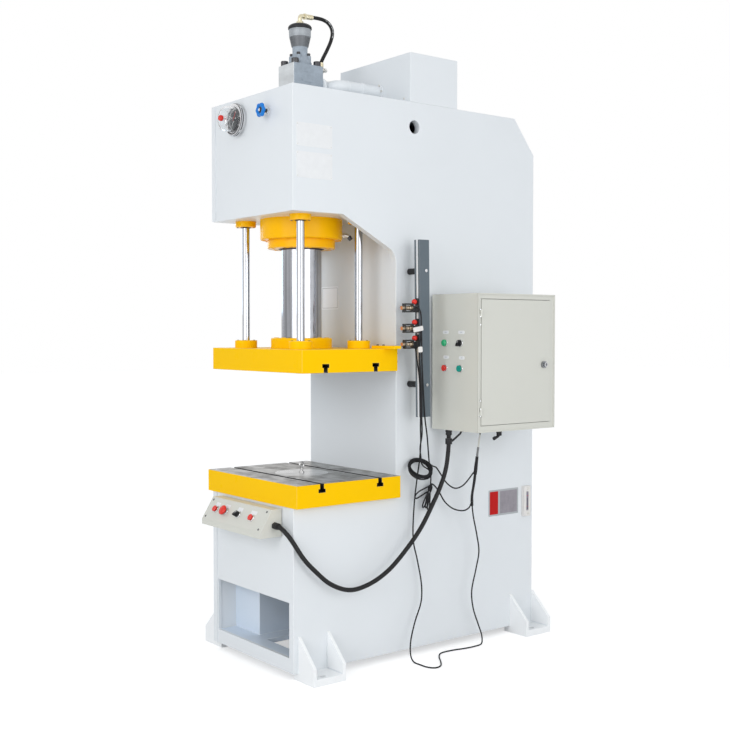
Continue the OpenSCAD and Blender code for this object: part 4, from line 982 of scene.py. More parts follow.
class Growing(Wiring):
    """Nodes of the Geometry Nodes trees."""

    def on_points(self, points, instance, rotation, scale=None):
        return self.out("GeometryNodeInstanceOnPoints", {
            "Points": points, "Instance": instance, "Rotation": rotation, "Scale": scale})

    def vector(self, **parts):
        return self.out("ShaderNodeCombineXYZ", parts)

    def turned(self, geometry, **angles):
        return self.out("GeometryNodeTransform", {"Geometry": geometry, "Rotation": self.vector(**angles)})

    def random(self, low, high, seed):
        return self.add("FunctionNodeRandomValue", {"Min": low, "Max": high, "Seed": seed},
                        data_type="FLOAT").outputs[1]

    def spin(self, seed):
        """A random turn about Z."""
        return self.out("FunctionNodeAxisAngleToRotation",
                        {"Axis": (0, 0, 1), "Angle": self.random(0.0, 2 * math.pi, seed)})

    def to_facing(self, spin=None):
        """Rotation that points Z along a point's facing after a spin about Z."""
        way = self.out("GeometryNodeInputNamedAttribute", {"Name": "facing"}, data_type="FLOAT_VECTOR")
        aim = self.out("FunctionNodeAlignRotationToVector", {"Vector": way}, axis="Z")
        if spin is None:
            return aim
        return self.out("FunctionNodeRotateRotation", {0: aim, 1: spin}, rotation_space="LOCAL")

    def shape(self, socket):
        return self.add("GeometryNodeObjectInfo", {"Object": socket}, transform_space="ORIGINAL"
                        ).outputs["Geometry"]

    def circle(self, given, radius):
        return self.out("GeometryNodeMeshCircle", {"Vertices": given["Count"], "Radius": given[radius]})

    def bar(self, given, depth):
        size = self.vector(X=given[depth], Y=given["Width"], Z=given["Height"])
        return self.out("GeometryNodeMeshCube", {"Size": size})

    def swept(self, curve, radius, sides):
        """A tube with that many sides along a curve."""
        sized = self.out("GeometryNodeSetCurveRadius", {"Curve": curve, "Radius": radius})
        section = self.out("GeometryNodeCurvePrimitiveCircle", {"Resolution": sides, "Radius": 1.0})
        tube = self.add("GeometryNodeCurveToMesh",
                        {"Curve": sized, "Profile Curve": section, "Fill Caps": True})
        if "Scale" in tube.inputs:
            self.join(radius, tube.inputs["Scale"])
        return tube.outputs[0]

    def fanned(self, points, bar, given):
        """Bars that point away from the middle of their points, square to each base point's facing."""
        position = self.out("GeometryNodeInputPosition")
        away = self.out("FunctionNodeAlignRotationToVector", {"Vector": position}, axis="X", pivot_axis="Z")
        return self.on_points(given["Geometry"], self.on_points(points, bar, away), self.to_facing())


def screws_at_points(g, given):
    """Puts a screw on every point, along its facing, each turned at random."""
    return g.on_points(given["Geometry"], g.shape(given["Screw"]), g.to_facing(g.spin(given["Seed"])),
                       given["Scale"])


def screw_circles(g, given):
    """Puts a circle of screws round every point, square to its facing."""
    circle = g.turned(g.circle(given, "Pitch Radius"), Z=given["First Angle"])
    one = g.on_points(circle, g.shape(given["Screw"]), g.spin(given["Seed"]), given["Scale"])
    return g.on_points(given["Geometry"], one, g.to_facing())


def weld_bead(g, given):
    """Lays a rippled weld bead along the edges of a mesh."""
    line = g.out("GeometryNodeMeshToCurve", {"Mesh": given["Geometry"]})
    even = g.out("GeometryNodeResampleCurve", {"Curve": line, "Length": g.times(given["Ripple"], 0.5)},
                 mode="LENGTH")
    odd = g.maths("MODULO", g.out("GeometryNodeInputIndex"), 2.0)
    size = g.times(g.random(0.9, 1.12, given["Seed"]),
                   g.times(g.plus(0.86, g.times(odd, 0.16)), given["Radius"]))
    return g.swept(even, size, 10)


def screw_thread(g, given):
    """Winds a screw thread round every point's facing."""
    coil = g.out("GeometryNodeCurveSpiral", {
        "Resolution": 24, "Rotations": g.maths("DIVIDE", given["Length"], given["Pitch"]),
        "Start Radius": given["Radius"], "End Radius": given["Radius"], "Height": given["Length"]})
    return g.on_points(given["Geometry"], g.swept(coil, g.times(given["Pitch"], 0.5), 4), g.to_facing())


def ridges_round(g, given):
    """Stands ridges round a band, tilted to its slope: knurls, grips and fluting."""
    return g.fanned(g.circle(given, "Radius"), g.turned(g.bar(given, "Depth"), Y=given["Tilt"]), given)


def dial_marks(g, given):
    """Sets marks on an arc, each pointing at the middle: the scale of a dial."""
    arc = g.out("GeometryNodeCurveArc", {
        "Resolution": given["Count"], "Radius": given["Radius"], "Start Angle": given["Start"],
        "Sweep Angle": given["Sweep"]}, mode="RADIUS")
    return g.fanned(arc, g.bar(given, "Length"), given)


TREES = {
    "screws_at_points": (screws_at_points, {"Screw": None, "Scale": 1.0, "Seed": 0}),
    "screw_circles": (screw_circles, {"Screw": None, "Scale": 1.0, "Count": 6, "Pitch Radius": 0.1,
                                      "First Angle": 0.0, "Seed": 0}),
    "weld_bead": (weld_bead, {"Radius": 0.004, "Ripple": 0.006, "Seed": 0}),
    "screw_thread": (screw_thread, {"Radius": 0.009, "Pitch": 0.0015, "Length": 0.05}),
    "ridges_round": (ridges_round, {"Count": 40, "Radius": 0.03, "Depth": 0.002, "Width": 0.002,
                                    "Height": 0.02, "Tilt": 0.0}),
    "dial_marks": (dial_marks, {"Count": 26, "Radius": 0.04, "Start": 0.0, "Sweep": 4.7, "Length": 0.004,
                                "Width": 0.0006, "Height": 0.0003}),
}


def growing(name):
    """The tree of that name, built when it is first asked for; it ends in realised, finished geometry."""
    if name not in bpy.data.node_groups:
        fill, inputs = TREES[name]
        g, start, end = group(name, {"Geometry": None, "Material": None, **inputs}, {"Geometry": None},
                              "GeometryNodeTree", Growing)
        real = g.out("GeometryNodeRealizeInstances", {0: fill(g, start.outputs)})
        done = g.out("GeometryNodeSetMaterial", {"Geometry": real, "Material": start.outputs["Material"]})
        g.join(done, end.inputs["Geometry"])
    return bpy.data.node_groups[name]


def points_mesh(name, points, way):
    """Loose points in metres, each with the way it faces; way is one vector or one for each."""
    mesh = bpy.data.meshes.new(name)
    mesh.from_pydata([tuple(p) for p in points], [], [])
    layer = mesh.attributes.new("facing", "FLOAT_VECTOR", "POINT")
    for item, each in zip(layer.data, [way] * len(points) if isinstance(way, Vector) else way):
        item.vector = each
    return mesh


def lines_mesh(name, lines):
    """Open lines of points in metres, as edges."""
    mesh = bpy.data.meshes.new(name)
    points, pairs = [], []
    for line in lines:
        pairs += [(len(points) + i, len(points) + i + 1) for i in range(len(line) - 1)]
        points += [tuple(p) for p in line]
    mesh.from_pydata(points, pairs, [])
    return mesh


def grown(name, tree, base, inputs, body, material, degrees=32.0):
    """Runs a tree on a mesh and gives the result as a plain piece on a body."""
    holder = linked(name, base)
    modifier = holder.modifiers.new("grow", "NODES")
    modifier.node_group = growing(tree)
    wanted = {**inputs, "Material": finish(material)}
    for item in modifier.node_group.interface.items_tree:
        if item.item_type == "SOCKET" and item.in_out == "INPUT" and item.name in wanted:
            modifier[item.identifier] = wanted.pop(item.name)
    if wanted:
        raise ValueError(f"{tree} has no input named {sorted(wanted)}")
    holder.update_tag()
    mesh = evaluated(holder)
    smooth_by_angle(mesh, degrees)
    if not mesh.polygons:
        raise ValueError(f"{name} came out empty")
    mesh.name = name
    return add_piece(name, mesh, body, [material])


def ridges(name, point, way, count, radius, depth, width, height, body, material, tilt=0.0):
    """A band of ridges round a point in metres; sizes in millimetres, tilt in degrees."""
    grown(name, "ridges_round", points_mesh(name, [point], way), {
        "Count": count, "Radius": radius * MM, "Depth": depth * MM, "Width": width * MM,
        "Height": height * MM, "Tilt": math.radians(tilt)}, body, material)


def socket_screw(head, height, socket=None, low=-1.0):
    """Cap screw with a hexagon socket; sizes in millimetres, its seat at Z = 0."""
    outer, key, steps = head / 2, (socket or head * 0.55) / math.sqrt(3), 24
    chamfer = min(0.12 * head, 1.2)
    hexagon = []
    for i in range(steps):
        side, part = divmod(i, steps // 6)
        a, b = (Vector((math.cos(t), math.sin(t), 0)) * key for t in
                (math.radians(60 * side), math.radians(60 * side + 60)))
        hexagon.append(a.lerp(b, part / (steps // 6)))
    rings = [[(r * math.cos(a), r * math.sin(a), h) for a in around(steps)]
             for r, h in ((outer, low), (outer, height - chamfer), (outer - chamfer, height))]
    rings += [[(p.x, p.y, h) for p in hexagon] for h in (height, height * 0.42)]
    return Shape().skin(rings, Matrix())


def flush_screw(head, height):
    """Cap screw that hardly goes into its seat."""
    return socket_screw(head, height, low=-0.5)


def hex_bolt(across, height):
    """Hexagon head with turned corners."""
    shape = Shape().hexagon(across / math.sqrt(3), -0.5, height, Matrix(), edge=0.04 * across)
    return shape.turned(Matrix(), 24, across / 2 * 0.98, height - 0.6, across / 2 * 0.90, height + 0.35)


def pan_screw(head, height):
    """Small dome-headed screw or rivet."""
    r = head / 2
    return Shape().turned(Matrix(), 20, r, -0.5, r, height * 0.25, r * 0.86, height * 0.7,
                          r * 0.55, height * 0.95, 0, height)


def put_screws(name, screw, points, way, body, material, seed, tree="screws_at_points", **inputs):
    """Screws of one shape at points in metres."""
    tool = bpy.data.objects.new("screw", screw.mesh("screw"))
    grown(name, tree, points_mesh(name, points, way),
          {"Screw": tool, "Seed": screws().seed + seed, **inputs}, body, material)
    bpy.data.objects.remove(tool)


def put_circles(name, screw, centres, way, count, radius, body, material, seed, first=0.0):
    """Circles of screws round centres in metres; the circle's radius is in millimetres."""
    put_screws(name, screw, centres, way, body, material, seed, "screw_circles",
               **{"Count": count, "Pitch Radius": radius * MM, "First Angle": first})


# ---- the frame ----

COLUMN_Y, HALF_W, INNER_X = -145, 300, 270
HEAD_Z, TABLE_Z = 1785, 750
FOOT_FRONT, FOOT_REAR, FOOT_L, FOOT_T, FOOT_OUT = -625, 505, 150, 28, 105
GUSSET_T, GUSSET_HIGH = 14, 170
AXIS_Y, RAM_Z = -400, 1262
GUIDES = [(sx * 200, AXIS_Y + sy * 142) for sx, sy in QUARTERS]
# Ends of the seams inside the base, below the table and up the column
BASE_SEAM, COLUMN_SEAM = ((-618, 83), (-170, 83)), ((COLUMN_Y, 90), (COLUMN_Y, 640))


def flush_joint(edge):
    """The skins are welded flush and ground, so these joints keep no gap to see."""
    return all(abs(abs(v.co.x) / MM - INNER_X) < 0.5 for v in edge.verts)


class PRESS_OT_frame_plates(Operator):
    """Finish the welded frame and its feet, with their weld beads"""
    bl_idname = "press.frame_plates"
    bl_label = "Frame plates"

    def execute(self, context):
        for node in ("left_side_plate", "right_side_plate", "head_front_plate", "head_bottom_plate",
                     "column_front_plate", "head_top_plate", "rear_plate", "base_front_plate",
                     "base_inner_plates", "feet"):
            # the inner plates take a copy of the enamel with painted bluish shade, the feet a lighter copy
            # with painted light
            coat = {"base_inner_plates": "inside_enamel", "feet": "foot_enamel"}.get(node, "frame_enamel")
            cad_copy(node, coat, edges().plate, keep=flush_joint)
        lines = []
        for side in SIDES:
            wall, out = side * HALF_W, side * (HALF_W + FOOT_OUT)
            for y0 in (FOOT_FRONT, FOOT_REAR):
                near, far = y0 + GUSSET_T, y0 + FOOT_L - GUSSET_T
                for y in (near, far):
                    lines.append([mm(wall, y, FOOT_T + 3), mm(wall, y, GUSSET_HIGH - 4)])
                    lines.append([mm(wall + side * 3, y, FOOT_T), mm(out - side * 4, y, FOOT_T)])
                lines.append([mm(wall, near, FOOT_T), mm(wall, far, FOOT_T)])
                for y in (y0 + 1.5, y0 + FOOT_L - 1.5):
                    lines.append([mm(wall, y, FOOT_T + 3), mm(wall, y, GUSSET_HIGH - 4)])
        for x in (-INNER_X, INNER_X):
            lines += [[mm(x, y, z) for y, z in seam] for seam in (BASE_SEAM, COLUMN_SEAM)]
        grown("foot_welds", "weld_bead", lines_mesh("foot_welds", lines),
              {"Radius": 0.0042, "Ripple": 0.0062, "Seed": 3}, "frame", "frame_enamel", 60)
        return {"FINISHED"}


class PRESS_OT_tower_cover(Operator):
    """Finish the sheet cover on the head and its screws"""
    bl_idname = "press.tower_cover"
    bl_label = "Tower cover"

    def execute(self, context):
        cad_copy("tower_cover", "frame_enamel", edges().sheet)
        low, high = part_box("tower_cover")
        z = low.z + 0.018
        spots = [((x, y, z), way) for y, way in ((low.y, FRONT), (high.y, Y))
                 for x in (low.x + 0.04, 0.06, high.x - 0.04)]
        spots += [((low.x, y, z), -X) for y in (low.y + 0.04, high.y - 0.04)]
        points, ways = zip(*spots)
        put_screws("tower_cover_screws", pan_screw(screws().small / MM, 3.2), points, ways, "frame",
                   "zinc", 1)
        return {"FINISHED"}


# Name, middle in Y and Z, width and height of the plates on the head
NAME_PLATES = (("upper_name_plate", -545.5, 2073, 167, 88), ("lower_name_plate", -545.5, 1960, 167, 98))
SIDE_LABEL_Y, SIDE_LABEL_Z, SIDE_LABEL_W = 465.5, 583, 181


class PRESS_OT_blank_plates(Operator):
    """Fix the blank plates and labels, which carry no text"""
    bl_idname = "press.blank_plates"
    bl_label = "Blank plates"

    def execute(self, context):
        for name, y, z, w, h in NAME_PLATES:
            place = side_place(HALF_W, y, z)
            Shape().slab(w, h, 4, -0.3, 0.9, place, edge=0.25).piece(name, ["card"])
            corners = [place @ mm(sx * (w / 2 - 6), sy * (h / 2 - 6), 0.9) for sx, sy in QUARTERS]
            put_screws(name + "_rivets", pan_screw(4.4, 1.4), corners, X, "frame", "zinc", 2)
        place = front_place(-152, COLUMN_Y, 1475)
        # the column label sits in the throat's shade and takes the brighter card, painted light
        Shape().slab(122, 98, 5, -0.2, 0.5, place, edge=0.15).piece("column_label", ["label_white"])
        border = Shape().slab(112, 88, 3, 0.3, 0.65, place).slab(108, 84, 2, 0.4, 0.8, place, 1)
        border.piece("column_label_border", ["grey_card", "label_white"])
        y, z = SIDE_LABEL_Y, SIDE_LABEL_Z
        label = Shape().slab(SIDE_LABEL_W, 114, 4, -0.3, 0.8, side_place(HALF_W, y, z), edge=0.2)
        label.piece("side_label", ["grey_card"])
        for name, off, w, h, coat in (("side_label_red", 32 - SIDE_LABEL_W / 2, 50, 100, "red_card"),
                                      ("side_label_pale", 30, 104, 98, "side_card")):
            panel = Shape().slab(w, h, 3, 0.5, 1.1, side_place(HALF_W, y + off, z))
            panel.piece(name, [coat])
        return {"FINISHED"}


# ---- table ----

# the slot faces' near-black steel is painted shade
SLOTTED = ["yellow_enamel", "ground_steel", "slot_steel"]
# A T-slot's half width and its depth in metres, with a little to spare
SLOT_HALF, SLOT_DEEP = 0.0165, 0.0345
TABLE_SLOTS, RAM_SLOTS, TABLE_HOLE_R = (-0.533, -0.250), (-0.515, -0.272), 0.1105
PLUG_MARKS = (34, 66, 100)


def in_slot(face, slots, depth):
    """Whether a face belongs to a T-slot: near its middle line, and not deeper than the slot."""
    near = min(abs(face.calc_center_median().y - y) for y in slots)
    return near < SLOT_HALF and depth < SLOT_DEEP and abs(face.normal.x) < 0.5


class PRESS_OT_worktable(Operator):
    """Finish the worktable: ground face, slots, dowels and the centre plug"""
    bl_idname = "press.worktable"
    bl_label = "Worktable"

    def execute(self, context):
        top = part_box("worktable")[1].z

        def pick(face):
            c = face.calc_center_median()
            if face.normal.z > 0.7 and c.z > top - 0.002:
                return 1
            in_hole = math.hypot(c.x, c.y - AXIS_Y * MM) < TABLE_HOLE_R and c.z > 0.7
            return 2 if in_slot(face, TABLE_SLOTS, top - c.z) or in_hole else 0
        finish_cad("worktable", SLOTTED, edges().plate * 0.6, pick=pick)
        cad_copy("table_plug", "turned_steel")
        rings = Shape()
        for r in PLUG_MARKS:
            rings.hoop(at(0, AXIS_Y, TABLE_Z), 96, r - 0.8, -0.4, r - 0.8, 0.12, r, 0.2, r + 0.8, 0.12,
                       r + 0.8, -0.4)
        rings.piece("table_plug_turning_marks", ["turned_steel"])
        dowels = Shape()
        for x in (-300, 300):
            for y in (-625, -168):
                dowels.turned(at(x, y, TABLE_Z), 32, 8, -0.5, 8, 0.15, 7.4, 0.35)
        dowels.piece("table_dowels", ["turned_steel"])
        return {"FINISHED"}


# ---- cylinder, ram and guides ----

# Undersides of the cylinder flange, the gland and the bushes
FLANGE_LOW, GLAND_LOW, BUSH_LOW = HEAD_Z - 83, HEAD_Z - 83 - 36, HEAD_Z - 24
ROD_R, GUIDE_R, PISTON_LOW = 82.5, 16, 1935


class PRESS_OT_cylinder(Operator):
    """Finish the cylinder flange, gland and guide bushes, with screws and wipers"""
    bl_idname = "press.cylinder"
    bl_label = "Cylinder and bushes"

    def execute(self, context):
        cad_copy("cylinder_barrel", "frame_enamel", 0.0)
        for node in ("cylinder_flange", "gland_ring", "guide_bushes"):
            cad_copy(node, "orange_enamel")
        big = screws().cylinder / MM
        put_circles("cylinder_flange_screws", flush_screw(big * 0.75, 2.2), [mm(0, AXIS_Y, FLANGE_LOW)], -Z,
                    12, 153, "frame", "orange_enamel", 3)
        put_circles("gland_screws", flush_screw(big * 0.62, 1.8), [mm(0, AXIS_Y, GLAND_LOW)], -Z, 8, 118,
                    "frame", "orange_enamel", 4, first=0.3)
        put_circles("bush_screws", flush_screw(screws().flange / MM, 1.6),
                    [mm(x, y, BUSH_LOW) for x, y in GUIDES], -Z, 4, 34, "frame", "black_steel", 5, first=0.78)
        wipers = Shape()
        for x, y in GUIDES:
            wipers.hoop(at(x, y, BUSH_LOW), 40, 16.4, -2.6, 17.6, -3.0, 22, -0.8, 22, 0.3, 16.4, 0.3)
        wipers.hoop(at(0, AXIS_Y, GLAND_LOW), 96, 83, -3.4, 84.5, -4.0, 93, -1.0, 93, 0.3, 83, 0.3)
        wipers.piece("rod_wipers", ["jacket_rubber"])
        return {"FINISHED"}


class PRESS_OT_ram(Operator):
    """Finish the ram plate, its rods and its flanges"""
    bl_idname = "press.ram"
    bl_label = "Ram"

    def execute(self, context):
        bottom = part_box("ram_plate")[0].z

        def pick(face):
            z = face.calc_center_median().z
            if face.normal.z < -0.7 and z < bottom + 0.002:
                return 1
            return 2 if in_slot(face, RAM_SLOTS, z - bottom) else 0
        finish_cad("ram_plate", SLOTTED, edges().plate * 0.7, pick=pick)
        for node in ("ram_striker", "rod_flange", "guide_rod_flanges"):
            cad_copy(node, "yellow_enamel")
        self.rods()
        self.flange_screws()
        return {"FINISHED"}

    def rods(self):
        """The chromed rods, turned: the large one with its piston, each chamfered at the top."""
        low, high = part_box("piston_rod")
        top, piston = high.z / MM, (high.x - low.x) / 2 / MM
        rod = Shape().turned(at(0, AXIS_Y, 0), 128, ROD_R, low.z / MM, ROD_R, PISTON_LOW, piston, PISTON_LOW,
                             piston, top - 2, piston - 2, top)
        rod.piece("piston_rod_finished", ["rod_chrome"], ("piston_rod",), body="ram")
        low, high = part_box("guide_rods")
        rods, top = Shape(), high.z / MM
        for x, y in GUIDES:
            rods.turned(at(x, y, 0), 48, GUIDE_R, low.z / MM, GUIDE_R, top - 2, GUIDE_R - 2, top)
        rods.piece("guide_rods_finished", ["chrome"], ("guide_rods",), body="ram")

    def flange_screws(self):
        put_circles("rod_flange_screws", flush_screw(20, 2.0), [mm(0, AXIS_Y, RAM_Z + 42)], Z, 8, 103, "ram",
                    "yellow_enamel", 6, first=0.2)
        put_circles("guide_flange_screws", flush_screw(screws().flange / MM, 1.6),
                    [mm(x, y, RAM_Z + 32) for x, y in GUIDES], Z, 4, 34, "ram", "black_steel", 7, first=0.78)
        put_screws("striker_screws", socket_screw(10, 4.5), [mm(x, -214, RAM_Z + 12) for x in (268, 306)], Z,
                   "ram", "black_steel", 8)
        put_screws("ram_rear_bolts", hex_bolt(16, 8), [mm(312, -161, z) for z in (1243, 1210)], Y, "ram",
                   "black_steel", 9)


# ---- valve, hose and pipe on the head ----

BLOCK_TOP, BLOCK_REAR, PORT_Z = 2408, -329, 2385
BODY_Y, BODY_H, BODY_SCREW = -405, 168, 25
HOSE_START, HOSE_END, HOSE_R = (0, -375, 2613), (0, -300, 2410), 7.5
HOSE_STEPS = ((0, 0), (22, 2), (55, 4), (88, 2), (112, -7), (128, -24), (133, -46), (126, -76),
              (106, -118), (85, -155))
# Where the printed dashes start and stop, as shares of the hose
PRINT_MARKS = ((0.30, 0.325), (0.335, 0.345), (0.36, 0.40), (0.415, 0.425), (0.44, 0.475), (0.49, 0.50),
               (0.515, 0.55), (0.565, 0.575), (0.59, 0.615))
PIPE_X, PIPE_Z = 95, 2330


class PRESS_OT_valve(Operator):
    """Build the fill valve on the head: block, body, knurl and screws"""
    bl_idname = "press.valve"
    bl_label = "Fill valve"

    def execute(self, context):
        self.block()
        self.body()
        corners = [mm(sx * 38, -401 + sy * 54, BLOCK_TOP) for sx, sy in QUARTERS]
        big = screws().block / MM
        put_screws("valve_block_screws", socket_screw(big, 20, big * 0.5), corners, Z, "frame",
                   "black_steel", 11)
        corners = [mm(sx * BODY_SCREW, BODY_Y + sy * BODY_SCREW, BLOCK_TOP + 40) for sx, sy in QUARTERS]
        put_screws("valve_body_screws", socket_screw(14.5, 11), corners, Z, "frame", "black_steel", 12)
        return {"FINISHED"}

    def block(self):
        finish_cad("valve_block", ["valve_casting", "valve_face"], edges().plate,
                   pick=lambda face: 1 if face.normal.y < -0.7 else 0)
        side = side_place(56, -404, 2352)
        pad = Shape().slab(58, 34, 10, -0.5, 1.6, side, edge=0.7)
        pad.slab(34, 5, 2.4, 1.2, 2.2, side @ at(0, 26, -1.2), edge=0.4)
        pad.piece("valve_block_pad", ["valve_casting"])
        place = facing(mm(42, BLOCK_REAR, 2397), Y)
        plug = Shape().turned(place, 24, 9, -1, 9, 3, 6, 4, 6, 14)
        plug.hexagon(9.2, 12, 23, place, edge=0.6).turned(place, 24, 5, 22, 5, 27, 3.8, 28)
        plug.piece("valve_block_plug", ["zinc"])

    def body(self):
        place = at(0, BODY_Y, BLOCK_TOP)
        shape = Shape().turned(place, 64, 46, -0.3, 47.6, 1.6, 47.6, 12.4, 46.2, 15.2, 34, 35.8, 31.6, 40,
                               30.8, 45, 30.8, 70, 31.6, 75.6)
        for sx, sy in QUARTERS:
            pad = at(sx * BODY_SCREW, BODY_Y + sy * BODY_SCREW, BLOCK_TOP)
            shape.turned(pad, 28, 10, 10, 10, 38.6, 9, 40)
        shape.turned(place, 64, 32.2, 75.2, 33, 77, 41.6, 114, 41.6, 116.3, mat=1)
        shape.turned(place, 64, 43.2, 116, 44, 117, 44.3, 122, 43.7, 122.6, 44.3, 123.2, 45.1, 141,
                     44.5, 141.6, 45.1, 142.2, 45.2, 147.3, mat=2)
        shape.turned(place, 64, 46.4, 147, 47.4, 148.2, 47.9, 153, 47.2, 158.4, 44.4, 162.6, 40, 165.6,
                     36, 166.6, 35, BODY_H, 16, BODY_H, mat=3)
        shape.piece("valve_body_finished",
                    ["valve_casting", "valve_sleeve", "valve_band", "valve_cap"], ("valve_body",))
        ridges("valve_knurl", mm(0, BODY_Y, BLOCK_TOP + 95.5), Z, 76, 37.4, 2.2, 1.5, 36, "frame",
               "valve_sleeve", tilt=13.0)
        ridges("valve_cap_grip", mm(0, BODY_Y, BLOCK_TOP + 152.8), Z, 60, 47.2, 2.0, 1.9, 8, "frame",
               "valve_cap")


def crimped_ferrule(shape, place, bore, long):
    """Hexagon nut and crimped sleeve on a hose's end; it runs along Z of place."""
    shape.hexagon(bore + 5.2, 0, 10, place, edge=0.7)
    sizes, step = [bore + 2.6, 9, bore + 2.6, 11], (long - 15) / 4
    for k in range(4):
        h = 12 + k * step
        sizes += [bore + 3.0, h, bore + 3.0, h + step * 0.62, bore + 2.2, h + step * 0.74,
                  bore + 2.2, h + step * 0.92]
    shape.turned(place, 28, *sizes, bore + 2.8, long - 2, bore + 0.8, long)


class PRESS_OT_pressure_line(Operator):
    """Build the pressure hose, its elbows and ferrules, and the suction pipe"""
    bl_idname = "press.pressure_line"
    bl_label = "Pressure hose and pipe"

    def execute(self, context):
        self.fittings()
        self.port_elbow()
        self.hose()
        self.pipe()
        return {"FINISHED"}

    def fittings(self):
        top = at(0, BODY_Y, BLOCK_TOP + BODY_H)
        shape = Shape().hexagon(14.8, -0.3, 13, top, edge=0.8)
        shape.turned(top, 28, 10.5, 12, 10.5, 15, 8.6, 16, 8.6, 22)
        y, z = BODY_Y, HOSE_START[2]
        bend = [mm(0, y, z - 20), mm(0, y, z - 9), mm(0, y + 2.5, z - 3.4), mm(0, y + 8, z - 0.4),
                mm(0, y + 14, z), mm(0, y + 30, z)]
        shape.tube(through(bend, 4), 8.6, 20)
        crimped_ferrule(shape, facing(mm(0, y + 18, z), Vector((0, 1, 0.045)), Z), HOSE_R, 44)
        shape.hexagon(12.6, -0.3, 11, facing(mm(0, BLOCK_REAR, PORT_Z), Y), edge=0.8)
        y, z = HOSE_END[1], PORT_Z
        bend = [mm(0, BLOCK_REAR + 8, z), mm(0, y - 12, z), mm(0, y - 3.5, z + 2.2), mm(0, y, z + 9),
                mm(0, y, z + 22)]
        shape.tube(through(bend, 5), 9.2, 20)
        crimped_ferrule(shape, at(0, y, z + 14), HOSE_R, 40)
        shape.piece("hose_fittings_finished", ["brass_zinc"], ("hose_fittings",))

    def port_elbow(self):
        """Elbow on the cylinder flange's rod-side port, with a black cap nut."""
        turn, fall = math.radians(57), math.radians(140)
        out = Vector((math.cos(turn), math.sin(turn), 0))
        base = mm(0, AXIS_Y, 1724) + out * 168 * MM
        place = facing(base, out, Z)
        shape = Shape().turned(place, 28, 11.6, -4.6, 11.6, 1.0, 10.4, 2)
        shape.hexagon(11, 1.5, 10, place, edge=0.6)
        tip = base + out * 0.021
        down = (out * math.sin(fall) + Z * math.cos(fall)).normalized()
        bend = [base + out * 0.008, base + out * 0.016, tip + down * 0.003, tip + down * 0.010]
        shape.tube(through(bend, 5), 8.4, 20)
        shape.hexagon(10, 7, 15, facing(tip, down), 1, edge=0.5)
        shape.turned(facing(tip, down), 24, 8.6, 14, 8.6, 22.5, 7.4, 24, mat=1)
        shape.piece("port_elbow", ["zinc", "black_steel"])

    def hose(self):
        start, end = Vector(HOSE_START), Vector(HOSE_END)
        route = [start + Vector((0, y, z)) for y, z in HOSE_STEPS] + [end + Vector((0, 0, 26)), end]
        line = through(metres(route), 10)
        Shape().tube(line, HOSE_R, 20).piece("pressure_hose_jacket", ["hose_rubber"],
                                             ("pressure_hose",), 60)
        marks, last = Shape(), len(line) - 1
        for first, stop in PRINT_MARKS:
            first, stop = int(first * last), int(stop * last)
            marks.tube([Vector(p) + Vector((0.0071, -0.0018, 0))
                        for p in line[first:max(stop, first + 1) + 1]], 1.0, 6)
        marks.piece("pressure_hose_marks", ["card"])

    def pipe(self):
        cad_copy("suction_pipe", "frame_enamel", angle=50)
        collars = Shape()
        for y, wide, r in ((-172, 16, 28.2), (-238, 5, 26.4)):
            collars.hoop(facing(mm(PIPE_X, y, PIPE_Z), Y), 48, 24, 0, r - 1, 0, r, 1, r, wide - 1,
                         r - 1, wide, 24, wide)
        collars.piece("suction_pipe_collars", ["frame_enamel"])
        put_circles("pipe_flange_bolts", hex_bolt(8, 5), [mm(PIPE_X, -78, PIPE_Z)], -Y, 6, 29, "frame",
                    "zinc", 13)
        put_circles("port_flange_bolts", hex_bolt(8, 4), [mm(31, -319, PIPE_Z)], Y, 4, 31, "frame", "zinc",
                    14, first=0.785)


# ---- gauge and handwheel ----

GAUGE, WHEEL = (-88, -642, 2176), (130, -617, 2180)
DIAL_H, DIAL_R = 16, 48.6
LUG_TURNS = (0.7, 2.27, 3.84, 5.41)
# Share of the full radius and height of each ring of the star
STAR_RINGS = ((0.80, 54), (0.93, 55.2), (1.0, 58.5), (1.0, 63.5), (0.94, 67), (0.82, 68), (0.66, 67.4),
              (0.56, 64.4), (0.50, 62.8))


